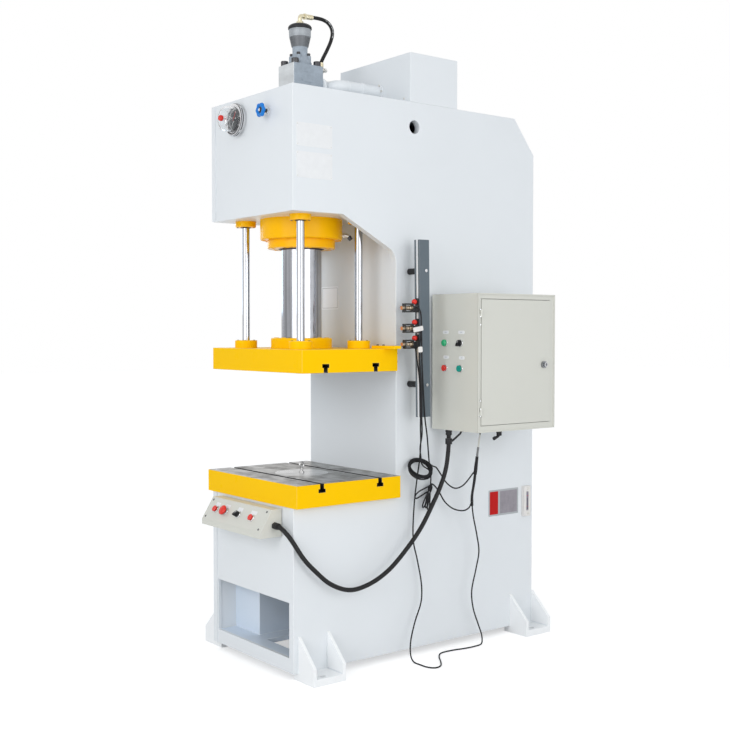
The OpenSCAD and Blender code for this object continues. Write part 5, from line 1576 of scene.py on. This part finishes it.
class PRESS_OT_gauge(Operator):
    """Build the contact pressure gauge: case, dial, hands and clear cover"""
    bl_idname = "press.gauge"
    bl_label = "Pressure gauge"

    def execute(self, context):
        place = front_place(*GAUGE)
        self.case(place)
        self.dial(place)
        self.hands(place)
        finish_cad("gauge_cover", ["clear_cover"], 0.0, name="gauge_cover_clear")
        return {"FINISHED"}

    def case(self, place):
        shape = Shape().turned(
            place, 96, 10.9, -20, 10.9, -0.2, 56, -0.2, 57, 0.6, 57, 12, 63.6, 12, 65, 13.4, 65, 17,
            62.8, 18.2, 62.8, 20.2, 64.6, 21.4, 64.6, 25.4, 62.4, 28.6, 60, 29.6, 57.6, 29.2, 54.4, 26.6,
            52.6, 27.2, 50.6, 26.4, 49.9, 15)
        for face in shape.bm.faces:
            out = face.calc_center_median() - place.translation
            reach = Vector((out.x, out.z)).length / MM
            turn = math.degrees(math.atan2(out.z, out.x)) % 360
            groove = 53 < reach < 59 and -out.y > 0.025
            face.material_index = 1 if (groove and 250 < turn + 20 < 395 or 62.6 < reach < 64.2) else 0
        for turn in LUG_TURNS:
            shape.box((62, -6, 19), (66, 6, 25), place @ Matrix.Rotation(turn, 4, "Z"), edge=0.8)
        shape.piece("gauge_case_finished", ["gauge_chrome", "gauge_shade"], ("gauge_case",))

    def dial(self, place):
        disc = Shape().turned(place, 72, DIAL_R, 14.6, DIAL_R, 15.7, DIAL_R - 0.5, DIAL_H - 0.1)
        disc.piece("gauge_dial", ["dial_card"])
        for name, count, long, width in (("dial_marks_fine", 41, 3.2, 0.5), ("dial_marks_long", 9, 6.0, 1.1)):
            grown(name, "dial_marks", points_mesh(name, [place @ mm(0, 0, DIAL_H)], FRONT), {
                "Count": count, "Radius": 41.0 * MM, "Start": math.radians(-45), "Sweep": math.radians(270),
                "Length": long * MM, "Width": width * MM, "Height": 0.3 * MM}, "frame", "dial_white")
        self.numbers(place)
        rim = Shape().hoop(place @ at(0, 0, DIAL_H), 72, 46.4, -0.1, 46.0, 0.15, 45.2, 0.15, 44.4, -0.1)
        rim.piece("dial_rim", ["dial_white"])

    def numbers(self, place):
        """Plain numbers round the scale, 0 to 40."""
        joined = Shape()
        for k in range(5):
            text = bpy.data.curves.new("number", "FONT")
            text.body, text.size, text.extrude = str(k * 10), 9.5 * MM, 0.15 * MM
            text.align_x, text.align_y, text.resolution_u = "CENTER", "CENTER", 3
            holder = linked("number", text)
            bpy.context.view_layer.update()
            mesh = evaluated(holder)
            turn = math.radians(225 - 67.5 * k)
            mesh.transform(place @ at(31 * math.cos(turn), 31 * math.sin(turn), DIAL_H + 0.05))
            joined.bm.from_mesh(mesh)
            bpy.data.meshes.remove(mesh)
            bpy.data.curves.remove(text)
        bmesh.ops.remove_doubles(joined.bm, verts=joined.bm.verts, dist=1e-6)
        for face in joined.bm.faces:
            face.material_index = 0
        joined.piece("dial_numbers", ["dial_white"])

    def hands(self, place):
        hand = front_place(*GAUGE, 225)
        pointer = Shape().prism([(-11, -2.2), (-4, -1.7), (36, -0.5), (38, 0), (36, 0.5), (-4, 1.7),
                                 (-11, 2.2)], 20.2, 21.2, hand, edge=0.2)
        pointer.turned(hand, 28, 3.4, 16.4, 3.4, 20, 5, 20.4, 5, 22.6, 4, 23.4, mat=1)
        pointer.piece("gauge_pointer_finished", ["dial_white", "black_moulding"],
                      ("gauge_pointer",), body="pointer")
        knob = Shape().turned(place, 20, 3.0, 25, 3.0, 76.5, mat=1)
        knob.turned(place, 40, 9.6, 76.4, 10.8, 77.6, 11, 82, 10.6, 88.4, 9.2, 90.6, 6.4, 91.2, 5.6, 90.4,
                    0, 90.2)
        knob.prism([(-6, -1), (34, -0.6), (34, 0.6), (-6, 1)], 26, 27.2, place @ spun(60))
        knob.piece("gauge_set_knob_finished", ["red_moulding", "plain_chrome"],
                   ("gauge_set_knob",), body="set_knob")
        ridges("set_knob_grip", place @ mm(0, 0, 83), FRONT, 26, 10.9, 1.1, 1.2, 9, "set_knob",
               "red_moulding")


class PRESS_OT_handwheel(Operator):
    """Build the blue star handwheel of the relief valve"""
    bl_idname = "press.handwheel"
    bl_label = "Handwheel"

    def execute(self, context):
        place = front_place(*WHEEL)
        # a lobed wheel with a dished face; every ring follows the same six-lobed curve
        rings = []
        for share, h in STAR_RINGS:
            reach = [(a, share * (26.3 + 2.2 * share * math.cos(6 * a))) for a in around(72)]
            rings.append([(r * math.cos(a), r * math.sin(a), h) for a, r in reach])
        shape = Shape().skin(rings, place).turned(place, 28, 7.9, 0, 7.9, 55, mat=1)
        shape.turned(place, 32, 10.6, 44, 11.6, 46, 11.6, 54.6, mat=1)
        shape.hexagon(12.9, 25.4, 36.8, place, 2, edge=0.9)
        shape.turned(place, 32, 14, 24.6, 14, 26.2, mat=2)
        shape.hexagon(6.2, 63, 67.6, place, 2, edge=0.5)
        shape.turned(place, 28, 11.6, 62, 11.6, 63.2, 10.8, 63.8, mat=1)
        shape.turned(place, 20, 3, 67, 3, 69.6, 2.3, 70.4, mat=2)
        shape.piece("handwheel_finished", ["blue_moulding", "black_steel", "plain_chrome"],
                    ("handwheel",), 40, body="valve_wheel")
        return {"FINISHED"}


# ---- switch rail and sensors ----

RAIL_MIDDLE, RAIL_LEAN = (0, -75, 1342), 0.8
RAIL_WALLS_X, RAIL_WALLS_Y = (373, 399), (-101, -56)
STANDOFF_Z, STRIP_LOW, STRIP_HIGH = (1117, 1573), 990, 1694
SENSOR_Z, SENSOR_X, BRACKET_Y, KNOB_ABOVE, BALL_R = (1281, 1344, 1425), 386, -175, 24, 11
LEANED = at(*RAIL_MIDDLE) @ spun(RAIL_LEAN, "X") @ at(*RAIL_MIDDLE).inverted()


def sensor_place(z, above=0.0):
    """A matrix on a sensor's axis: Z runs back along the sensor."""
    return LEANED @ at(SENSOR_X, BRACKET_Y, z + above) @ spun(-90, "X")


class PRESS_OT_switch_rail(Operator):
    """Finish the switch rail, its standoffs and the bolts through them"""
    bl_idname = "press.switch_rail"
    bl_label = "Switch rail"

    def execute(self, context):
        flat = LEANED.inverted()

        def pick(face):
            p = (flat @ face.calc_center_median()) / MM
            gaps = [abs(p.x - x) for x in RAIL_WALLS_X] + [abs(p.y - y) for y in RAIL_WALLS_Y]
            return 1 if min(gaps) < 0.7 and abs(face.normal.z) < 0.5 else 0
        finish_cad("switch_rail", ["rail_enamel", "rail_inside"], edges().fine, pick=pick)
        cad_copy("rail_standoffs", "black_moulding")
        strip = Shape()
        stops = [STRIP_LOW, *(z + KNOB_ABOVE + 13 * side for z in SENSOR_Z for side in SIDES), STRIP_HIGH]
        for z0, z1 in zip(stops[::2], stops[1::2]):
            strip.box((381.5, -103.6, z0), (390.5, -101.4, z1), LEANED, edge=0.3)
        strip.piece("rail_strip", ["rail_inside"])
        put_screws("rail_bolts", hex_bolt(12, 7), [LEANED @ mm(402, -75, z) for z in STANDOFF_Z], X, "frame",
                   "plain_chrome", 15)
        return {"FINISHED"}


class PRESS_OT_sensors(Operator):
    """Build the three proximity sensors, their brackets and their knobs"""
    bl_idname = "press.sensors"
    bl_label = "Sensors"

    def execute(self, context):
        cad_copy("sensor_brackets", "bracket_black")
        body, knobs, reliefs = Shape(), Shape(), Shape()
        arc = np.radians(np.linspace(-72, 66, 12))
        ball = [(0, -BALL_R), *((BALL_R * math.cos(t), BALL_R * math.sin(t)) for t in arc),
                (4.6, 10.4), (4.6, 12), (0, 12)]
        for z in SENSOR_Z:
            place, above = sensor_place(z), sensor_place(z, KNOB_ABOVE)
            body.turned(place, 32, 8.1, -12, 8.1, 58.6, 7.2, 60)
            for h in (5, 36):
                body.hexagon(11.4, h, h + 4, place, edge=0.5)
                body.hoop(place, 28, 8, h - 1.2, 10.6, h - 1.2, 10.6, h + 0.2, 8, h + 0.2)
            body.turned(place, 32, 6.6, -13, 7.8, -11.6, 7.8, -0.6, mat=1)
            reliefs.turned(place, 24, 6.4, 59, 6.4, 64, 4.6, 66, 3.4, 73)
            knobs.lathe(ball, above @ at(0, 0, 55), 32).turned(above, 20, 3.9, 63, 3.9, 74.2, mat=1)
            knobs.hexagon(9, 74, 79, above, 1, edge=0.4)
        body.piece("proximity_sensors_finished", ["nickel", "sensor_face"], ("proximity_sensors",))
        knobs.piece("sensor_knobs_finished", ["red_moulding", "zinc"], ("sensor_knobs",))
        reliefs.piece("sensor_reliefs", ["jacket_rubber"])
        starts = [sensor_place(z) @ mm(0, 0, 0.5) for z in SENSOR_Z]
        back = (LEANED.to_3x3() @ Y).normalized()
        grown("sensor_threads", "screw_thread", points_mesh("sensor_threads", starts, back), {
            "Radius": 8.35 * MM, "Pitch": 1.5 * MM, "Length": 57 * MM}, "frame", "nickel", 20)
        return {"FINISHED"}


def along(line, z):
    """How far along the line it last passes a height, in metres."""
    run, found = run_along(np.array(line)), 0.0
    for k, (p, q) in enumerate(zip(line, line[1:])):
        if (p[2] - z) * (q[2] - z) <= 0:
            found = float(run[k + 1])
    return found


def wrap(shape, line, start, long, radius, rough=0.0):
    """A sleeve round part of a line, its ends drawn in."""
    p = np.array(line)
    run = run_along(p)
    stops = np.linspace(start, min(start + long, run[-1]), max(int(long / 0.004), 4) + 1)
    points = [tuple(np.interp(s, run, p[:, k]) for k in range(3)) for s in stops]
    radii = [radius * (1 + rough * 0.12 * math.sin(9.7 * i) * math.cos(3.1 * i)) for i in range(len(points))]
    radii[0] *= 0.86
    radii[-1] *= 0.86
    return shape.tube(points, radii, 14)


class PRESS_OT_cable_dressing(Operator):
    """Add the white sleeves, the taped bundle and the glands' branch to the cables"""
    bl_idname = "press.cable_dressing"
    bl_label = "Cable dressing"

    def execute(self, context):
        a, b = (through(metres(p), 8) for p in (CABLE_A, CABLE_B_UPPER))
        r = cables().switch / 2 / MM
        tags = Shape()
        for y, z, w, h, lean in ((-128, 1340, 50, 19, -10), (-117, 1259, 21, 22, -6)):
            tags.slab(w, h, 4, -1.6, 1.6, side_place(418, y, z) @ spun(-lean), edge=1.0)
        wrap(tags, b, 0.004, 0.020, r + 1.4).piece("cable_tags", ["white_sleeve"])
        low, high = along(a, 0.600), along(a, 0.800)
        tape = wrap(Shape(), a, low, high - low, r + 2.6, rough=0.5)
        wrap(tape, a, along(a, 0.735), 0.075, r + 4.0, rough=0.7)
        tape.piece("bundle_tape", ["jacket_rubber"])
        grey = wrap(Shape(), a, high - 0.004, 0.048, r + 1.7)
        grey.piece("bundle_grey_sleeve", ["grey_jacket"])
        top = high + 0.044
        pale = wrap(Shape(), a, top - 0.002, line_length(a) - top - 0.004, r + 0.5)
        pale.piece("bundle_pale_sleeve", ["pale_sleeve"])
        ties = Shape()
        for z in (0.62, 0.748, 0.795):
            wrap(ties, a, along(a, z), 0.004, r + 3.6)
        ties.tube([mm(380, 74, 872), mm(392, 92, 890), mm(405, 112, 912), mm(408, 118, 929)], 4.2, 12)
        ties.turned(facing(mm(408, 118, 930), -Z), 20, 8, 0, 8, 10, 6.5, 12)
        ties.hoop(at(380, 70, 868), 28, 9, 0, 13.6, 0, 14.4, 1.5, 14.4, 22, 13.6, 24, 9, 24)
        ties.piece("cable_ties", ["black_moulding"])
        return {"FINISHED"}


# ---- push buttons ----

# Radius and depth of the stem that every button and selector has
STEM = (9.8, -14)


def button_bezel(shape, place):
    """Chrome ring of a button, over the panel's own ring; the hole stays free."""
    shape.hoop(place, 48, 10.05, -0.4, 15.2, -0.4, 15.4, 0.6, 15.1, 3.4, 13.9, 5.0, 11.2, 5.05, 10.05, 4.2)


def button_cap(place, radius=12.6):
    """Mushroom-edged push button that clears its ring when it is pressed."""
    return Shape().turned(place, 44, *STEM, 9.8, 9.2, radius - 0.5, 9.2, radius, 9.9, radius - 0.3, 11.6,
                          radius - 1.4, 12.5, radius - 2.6, 12.2, 0, 12.0)


def selector_knob(place):
    """Black selector: round foot, long handle and a pale pointer on it."""
    knob = Shape().turned(place, 40, *STEM, 9.8, 5.6, 11.6, 5.8, 12, 6.4, 11.4, 9.6, 10.2, 10.4)
    knob.prism([(-13.5, -2.6), (-11.5, -4.2), (9, -4.6), (13, -3.2), (14.2, 0), (13, 3.2), (9, 4.6),
                (-11.5, 4.2), (-13.5, 2.6)], 9.6, 20.6, place, edge=1.2)
    return knob.box((2, -0.7, 20.0), (12.5, 0.7, 20.9), place, 1)


# ---- electrical cabinet ----

CABINET_FACE, CABINET_LOW, CABINET_HIGH = 37, 1182, 1284
CABINET_LEFT, CABINET_RIGHT = 395, 485
LOCK = (587, 407, 1194)
RIM_LOW, GLAND_Z = 930, 930


def bars(x, edge, outlines):
    """Bars between two values of X, each on a rectangle given by its low and high Y and Z."""
    shape = Shape()
    for y0, z0, y1, z1 in outlines:
        shape.box((x[0], y0, z0), (x[1], y1, z1), edge=edge)
    return shape


class PRESS_OT_cabinet(Operator):
    """Finish the electrical cabinet, its door, hinges and lock"""
    bl_idname = "press.cabinet"
    bl_label = "Cabinet"

    def execute(self, context):
        cad_copy("cabinet_box", "cabinet_coat", edges().sheet)
        cad_copy("cabinet_door", "cabinet_coat", edges().sheet)
        cad_copy("door_hinges", "cabinet_coat", edges().fine * 0.5)
        self.hinge_pins()
        self.rim()
        self.gasket()
        self.lock()
        cad_copy("cable_glands", "black_moulding", angle=40)
        # the gland nuts' fluting: middle, way it faces and radius
        for n, (point, way, r) in enumerate((
                (mm(242, -678, 590), X, 12), (mm(380, 70, GLAND_Z - 19), -Z, 12),
                (mm(440, 190, GLAND_Z - 13.5), -Z, 9), (mm(540, 200, GLAND_Z - 16.5), -Z, 10))):
            ridges(f"gland_ribs_{n + 1}", point, way, 18, r, 1.6, 2.0, 7, "frame", "black_moulding")
        bend = metres([(540, 200, 916), (540, 197, 908), (539, 190, 903), (538, 176, 898)])
        stub = Shape().tube(through(bend, 5), 5.6, 16)
        stub.turned(facing(mm(538, 180, 899.6), Vector((-0.05, -0.92, -0.38))), 20, 7.2, 0, 7.2, 8, 6, 9.5)
        stub.piece("spare_gland_stub", ["black_moulding"])
        return {"FINISHED"}

    def hinge_pins(self):
        """Bright pins that stand out of the knuckles."""
        low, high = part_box("door_hinges")
        pins = Shape()
        for z, inward in ((low.z / MM, 1), (high.z / MM, -1)):
            for h, r in ((-2.5, 3.2), (26, 3.4), (58, 3.2)):
                pins.turned(at(589.5, 47, z + inward * h), 20, r - 0.6, -2.4, r, -1.6, r, 1.6, r - 0.6, 2.4)
        pins.piece("hinge_pins", ["plain_chrome"])

    def rim(self):
        """Folded lip round the cabinet's open side."""
        low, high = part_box("cabinet_box")
        y0, z0 = max(low.y / MM, CABINET_FACE), max(low.z / MM, RIM_LOW)
        y1, z1 = high.y / MM, high.z / MM
        lip = bars((584, 588.5), 0.8, ((y0, z0, y0 + 5, z1), (y1 - 6, z0, y1, z1),
                                       (y0 + 4, z0, y1 - 5, z0 + 5), (y0 + 4, z1 - 5, y1 - 5, z1)))
        lip.piece("cabinet_rim", ["cabinet_coat"])

    def gasket(self):
        """Foam strip inside the door, seen from below and when the door is open."""
        low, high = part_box("cabinet_door")
        y0, y1, z0, z1 = low.y / MM + 20, high.y / MM - 14, low.z / MM + 12, high.z / MM - 12
        foam = bars((568, 571.5), 1.0, ((y0, z0, y1, z0 + 7), (y0, z1 - 7, y1, z1),
                                        (y0, z0 + 6, y0 + 7, z1 - 6), (y1 - 7, z0 + 6, y1, z1 - 6)))
        foam.piece("door_gasket", ["jacket_rubber"], body="door")

    def lock(self):
        cad_copy("door_lock", "dark_chrome", angle=40)
        place = side_place(*LOCK)
        shape = Shape().hoop(place, 32, 6.6, 16.6, 8.9, 16.6, 8.9, 17.2, 8.2, 17.9, 6.6, 17.9)
        shape.slab(2.2, 9.0, 1.0, 16.8, 17.3, place, 1)
        shape.piece("lock_cylinder", ["plain_chrome", "ink"], body="lock")


class PRESS_OT_cabinet_controls(Operator):
    """Build the lamp, the buttons and the selector on the cabinet's front"""
    bl_idname = "press.cabinet_controls"
    bl_label = "Cabinet controls"

    def execute(self, context):
        low_left, high_left, low_right, high_right = places = [
            front_place(x, CABINET_FACE, z) for x in (CABINET_LEFT, CABINET_RIGHT)
            for z in (CABINET_LOW, CABINET_HIGH)]
        bezels = Shape()
        for place in places:
            button_bezel(bezels, place)
        bezels.piece("cabinet_bezels", ["plain_chrome"])
        lamp = Shape().turned(high_left, 48, *STEM, 9.8, 4.6, 13.6, 5.0, 14.4, 6, 14.2, 9, 13.0, 12.4,
                              10.4, 15, 6.4, 16.7, 2.4, 17.3, 0, 17.4)
        lamp.piece("cabinet_lamp_lens", ["green_lens"], ("cabinet_lamp",), 50)
        selector_knob(high_right @ spun(60)).piece(
            "cabinet_selector_knob", ["black_moulding", "card"], ("cabinet_selector",), body="cabinet_switch")
        button_cap(low_left).piece("cabinet_red_cap", ["red_moulding"],
                                   ("cabinet_red_button",), body="cabinet_red")
        button_cap(low_right, 13.2).piece("cabinet_green_cap", ["teal_moulding"],
                                          ("cabinet_green_button",), body="cabinet_green")
        ovals, h = Shape(), 14
        for x, z, w in ((397, 1327, 36), (490, 1327, 38), (399, 1226, 34), (493, 1225, 34)):
            place = front_place(x, CABINET_FACE, z)
            ovals.slab(w, h, h / 2 - 0.2, -0.2, 0.7, place, edge=0.2, steps=8)
            ovals.slab(w * 0.34, h * 0.34, h * 0.16, 0.6, 0.85, place, 1, steps=4)
        ovals.piece("cabinet_labels", ["card", "pale_card"])
        return {"FINISHED"}


# ---- operator console ----

CONSOLE_RED, CONSOLE_STOP, CONSOLE_SELECT, CONSOLE_START = -150, -75, 20, 120
CONSOLE_NORMAL, CONSOLE_BASE = Vector((0, -0.8486, 0.5290)).normalized(), (-717.5, 609.5)
# Halves of the cover plate and of the window cut in it for each button
COVER_W, COVER_H, WINDOW = 212, 47, 16.5


def on_console(x, along_slope=0.0, up=0.0):
    """A matrix on the console's sloped face, from millimetres across, up the slope and off it."""
    slope = X.cross(CONSOLE_NORMAL).normalized() * -1
    base = mm(x, *CONSOLE_BASE) + slope * along_slope * MM + CONSOLE_NORMAL * up * MM
    return facing(base, CONSOLE_NORMAL, slope)


class PRESS_OT_console(Operator):
    """Finish the operator console and build its buttons"""
    bl_idname = "press.console"
    bl_label = "Operator console"

    def execute(self, context):
        cad_copy("operator_console", "cabinet_coat", edges().sheet)
        self.cover()
        self.buttons()
        return {"FINISHED"}

    def cover(self):
        """Screwed cover plate on the slope: two long bars, and short ones between the buttons."""
        place, low, high = on_console(0), -0.3, 1.0
        bars = Shape()
        for y0, y1 in ((-COVER_H, -WINDOW), (WINDOW, COVER_H)):
            bars.box((-COVER_W, y0, low), (COVER_W, y1, high), place, edge=0.3)
        stops = [-COVER_W, *(x + side * WINDOW
                             for x in (CONSOLE_RED, CONSOLE_STOP, CONSOLE_SELECT, CONSOLE_START)
                             for side in SIDES), COVER_W]
        for x0, x1 in zip(stops[::2], stops[1::2]):
            bars.box((x0, -WINDOW - 0.1, low), (x1, WINDOW + 0.1, high), place)
        bars.piece("console_cover", ["cabinet_coat"])
        spots = [on_console(sx * 200, sy * 37, high).translation for sx, sy in QUARTERS]
        put_screws("console_screws", pan_screw(screws().small / MM, 2.6), spots, CONSOLE_NORMAL, "frame",
                   "dark_screw", 16)

    def buttons(self):
        bezels, labels = Shape(), Shape()
        for x, w in ((CONSOLE_RED, 30), (CONSOLE_STOP, 34), (CONSOLE_SELECT, 34), (CONSOLE_START, 40)):
            button_bezel(bezels, on_console(x))
            labels.slab(w, 15, 1.5, 0.6, 1.5, on_console(x + 1, 23), edge=0.2)
        bezels.piece("console_bezels", ["plain_chrome"])
        labels.piece("console_labels", ["card"])
        for body, x in (("console_left", CONSOLE_RED), ("console_right", CONSOLE_START)):
            button_cap(on_console(x)).piece(body + "_cap", ["red_moulding"], (body + "_button",), body=body)
        place = on_console(CONSOLE_STOP)
        stop = Shape().turned(place, 56, *STEM, 9.8, 11.4, 15.6, 11.6, 18.8, 13.6, 20, 16, 19.8, 19, 17.6, 22,
                              13, 24.4, 6, 25.4, 0, 25.6)
        stop.piece("emergency_stop_head", ["red_moulding"], ("emergency_stop",), 50, body="stop_button")
        collar = Shape().hoop(place, 40, 11, 4.9, 13.6, 4.9, 13.6, 6.8, 12.6, 7.2, 11, 7.2)
        collar.piece("stop_collar", ["grey_card"])
        selector_knob(on_console(CONSOLE_SELECT) @ spun(40)).piece(
            "console_selector_knob", ["black_moulding", "card"], ("console_selector",), body="console_switch")


# ---- oil level gauge ----

LEVEL_Y, LEVEL_Z, LEVEL_GLASS_X = 597, 577, 312


class PRESS_OT_level_gauge(Operator):
    """Finish the oil level gauge on the side plate"""
    bl_idname = "press.level_gauge"
    bl_label = "Level gauge"

    def execute(self, context):
        def pick(face):
            deep = face.calc_center_median().x - LEVEL_GLASS_X * MM
            return 1 if face.normal.x > 0.7 and abs(deep) < 0.001 else 0
        finish_cad("level_gauge", ["white_sleeve", "oil_glass"], edges().plate, pick=pick)
        place = side_place(LEVEL_GLASS_X, LEVEL_Y, LEVEL_Z)
        glass = Shape().slab(12.6, 82, 1.0, -0.2, 5.6, place, edge=0.8)
        glass.piece("level_glass", ["oil_glass"])
        marks = Shape()
        for h in (-24, 24):
            marks.box((-6.4, h - 0.7, 5.3), (6.4, h + 0.7, 5.9), place)
        marks.box((-1.4, -36, 5.3), (1.4, 14, 5.8), place, 1)
        marks.piece("level_marks", ["red_card", "ink"])
        put_screws("level_gauge_screws", socket_screw(11, 3.0),
                   [mm(320, LEVEL_Y, LEVEL_Z + 55 * side) for side in SIDES], X, "frame", "zinc", 17)
        return {"FINISHED"}


# Operators in the order in which they build the press
ORDER = (PRESS_OT_stage, PRESS_OT_console_hose, PRESS_OT_switch_cables, PRESS_OT_frame_plates,
         PRESS_OT_tower_cover, PRESS_OT_blank_plates, PRESS_OT_worktable, PRESS_OT_cylinder, PRESS_OT_ram,
         PRESS_OT_valve, PRESS_OT_pressure_line, PRESS_OT_gauge, PRESS_OT_handwheel, PRESS_OT_switch_rail,
         PRESS_OT_sensors, PRESS_OT_cable_dressing, PRESS_OT_cabinet, PRESS_OT_cabinet_controls,
         PRESS_OT_console, PRESS_OT_level_gauge)


class PRESS_PT_panel(Panel):
    """Lists the steps that build the press"""
    bl_idname = "PRESS_PT_panel"
    bl_label = "Press"
    bl_space_type = "VIEW_3D"
    bl_region_type = "UI"
    bl_category = "Press"

    def draw(self, context):
        for step in ORDER:
            self.layout.operator(step.bl_idname)
        for name in SETTINGS:
            box = self.layout.box()
            for key in SETTINGS[name].__annotations__:
                box.prop(getattr(context.scene, name), key)


def register():
    for cls in (*SETTINGS.values(), *ORDER, PRESS_PT_panel):
        bpy.utils.register_class(cls)
    for name, cls in SETTINGS.items():
        setattr(bpy.types.Scene, name, PointerProperty(type=cls))


def unregister():
    for name in SETTINGS:
        delattr(bpy.types.Scene, name)
    for cls in reversed((*SETTINGS.values(), *ORDER, PRESS_PT_panel)):
        bpy.utils.unregister_class(cls)


def main():
    register()
    for step in ORDER:
        space, name = step.bl_idname.split(".")
        getattr(getattr(bpy.ops, space), name)()


if __name__ == "__main__":
    main()
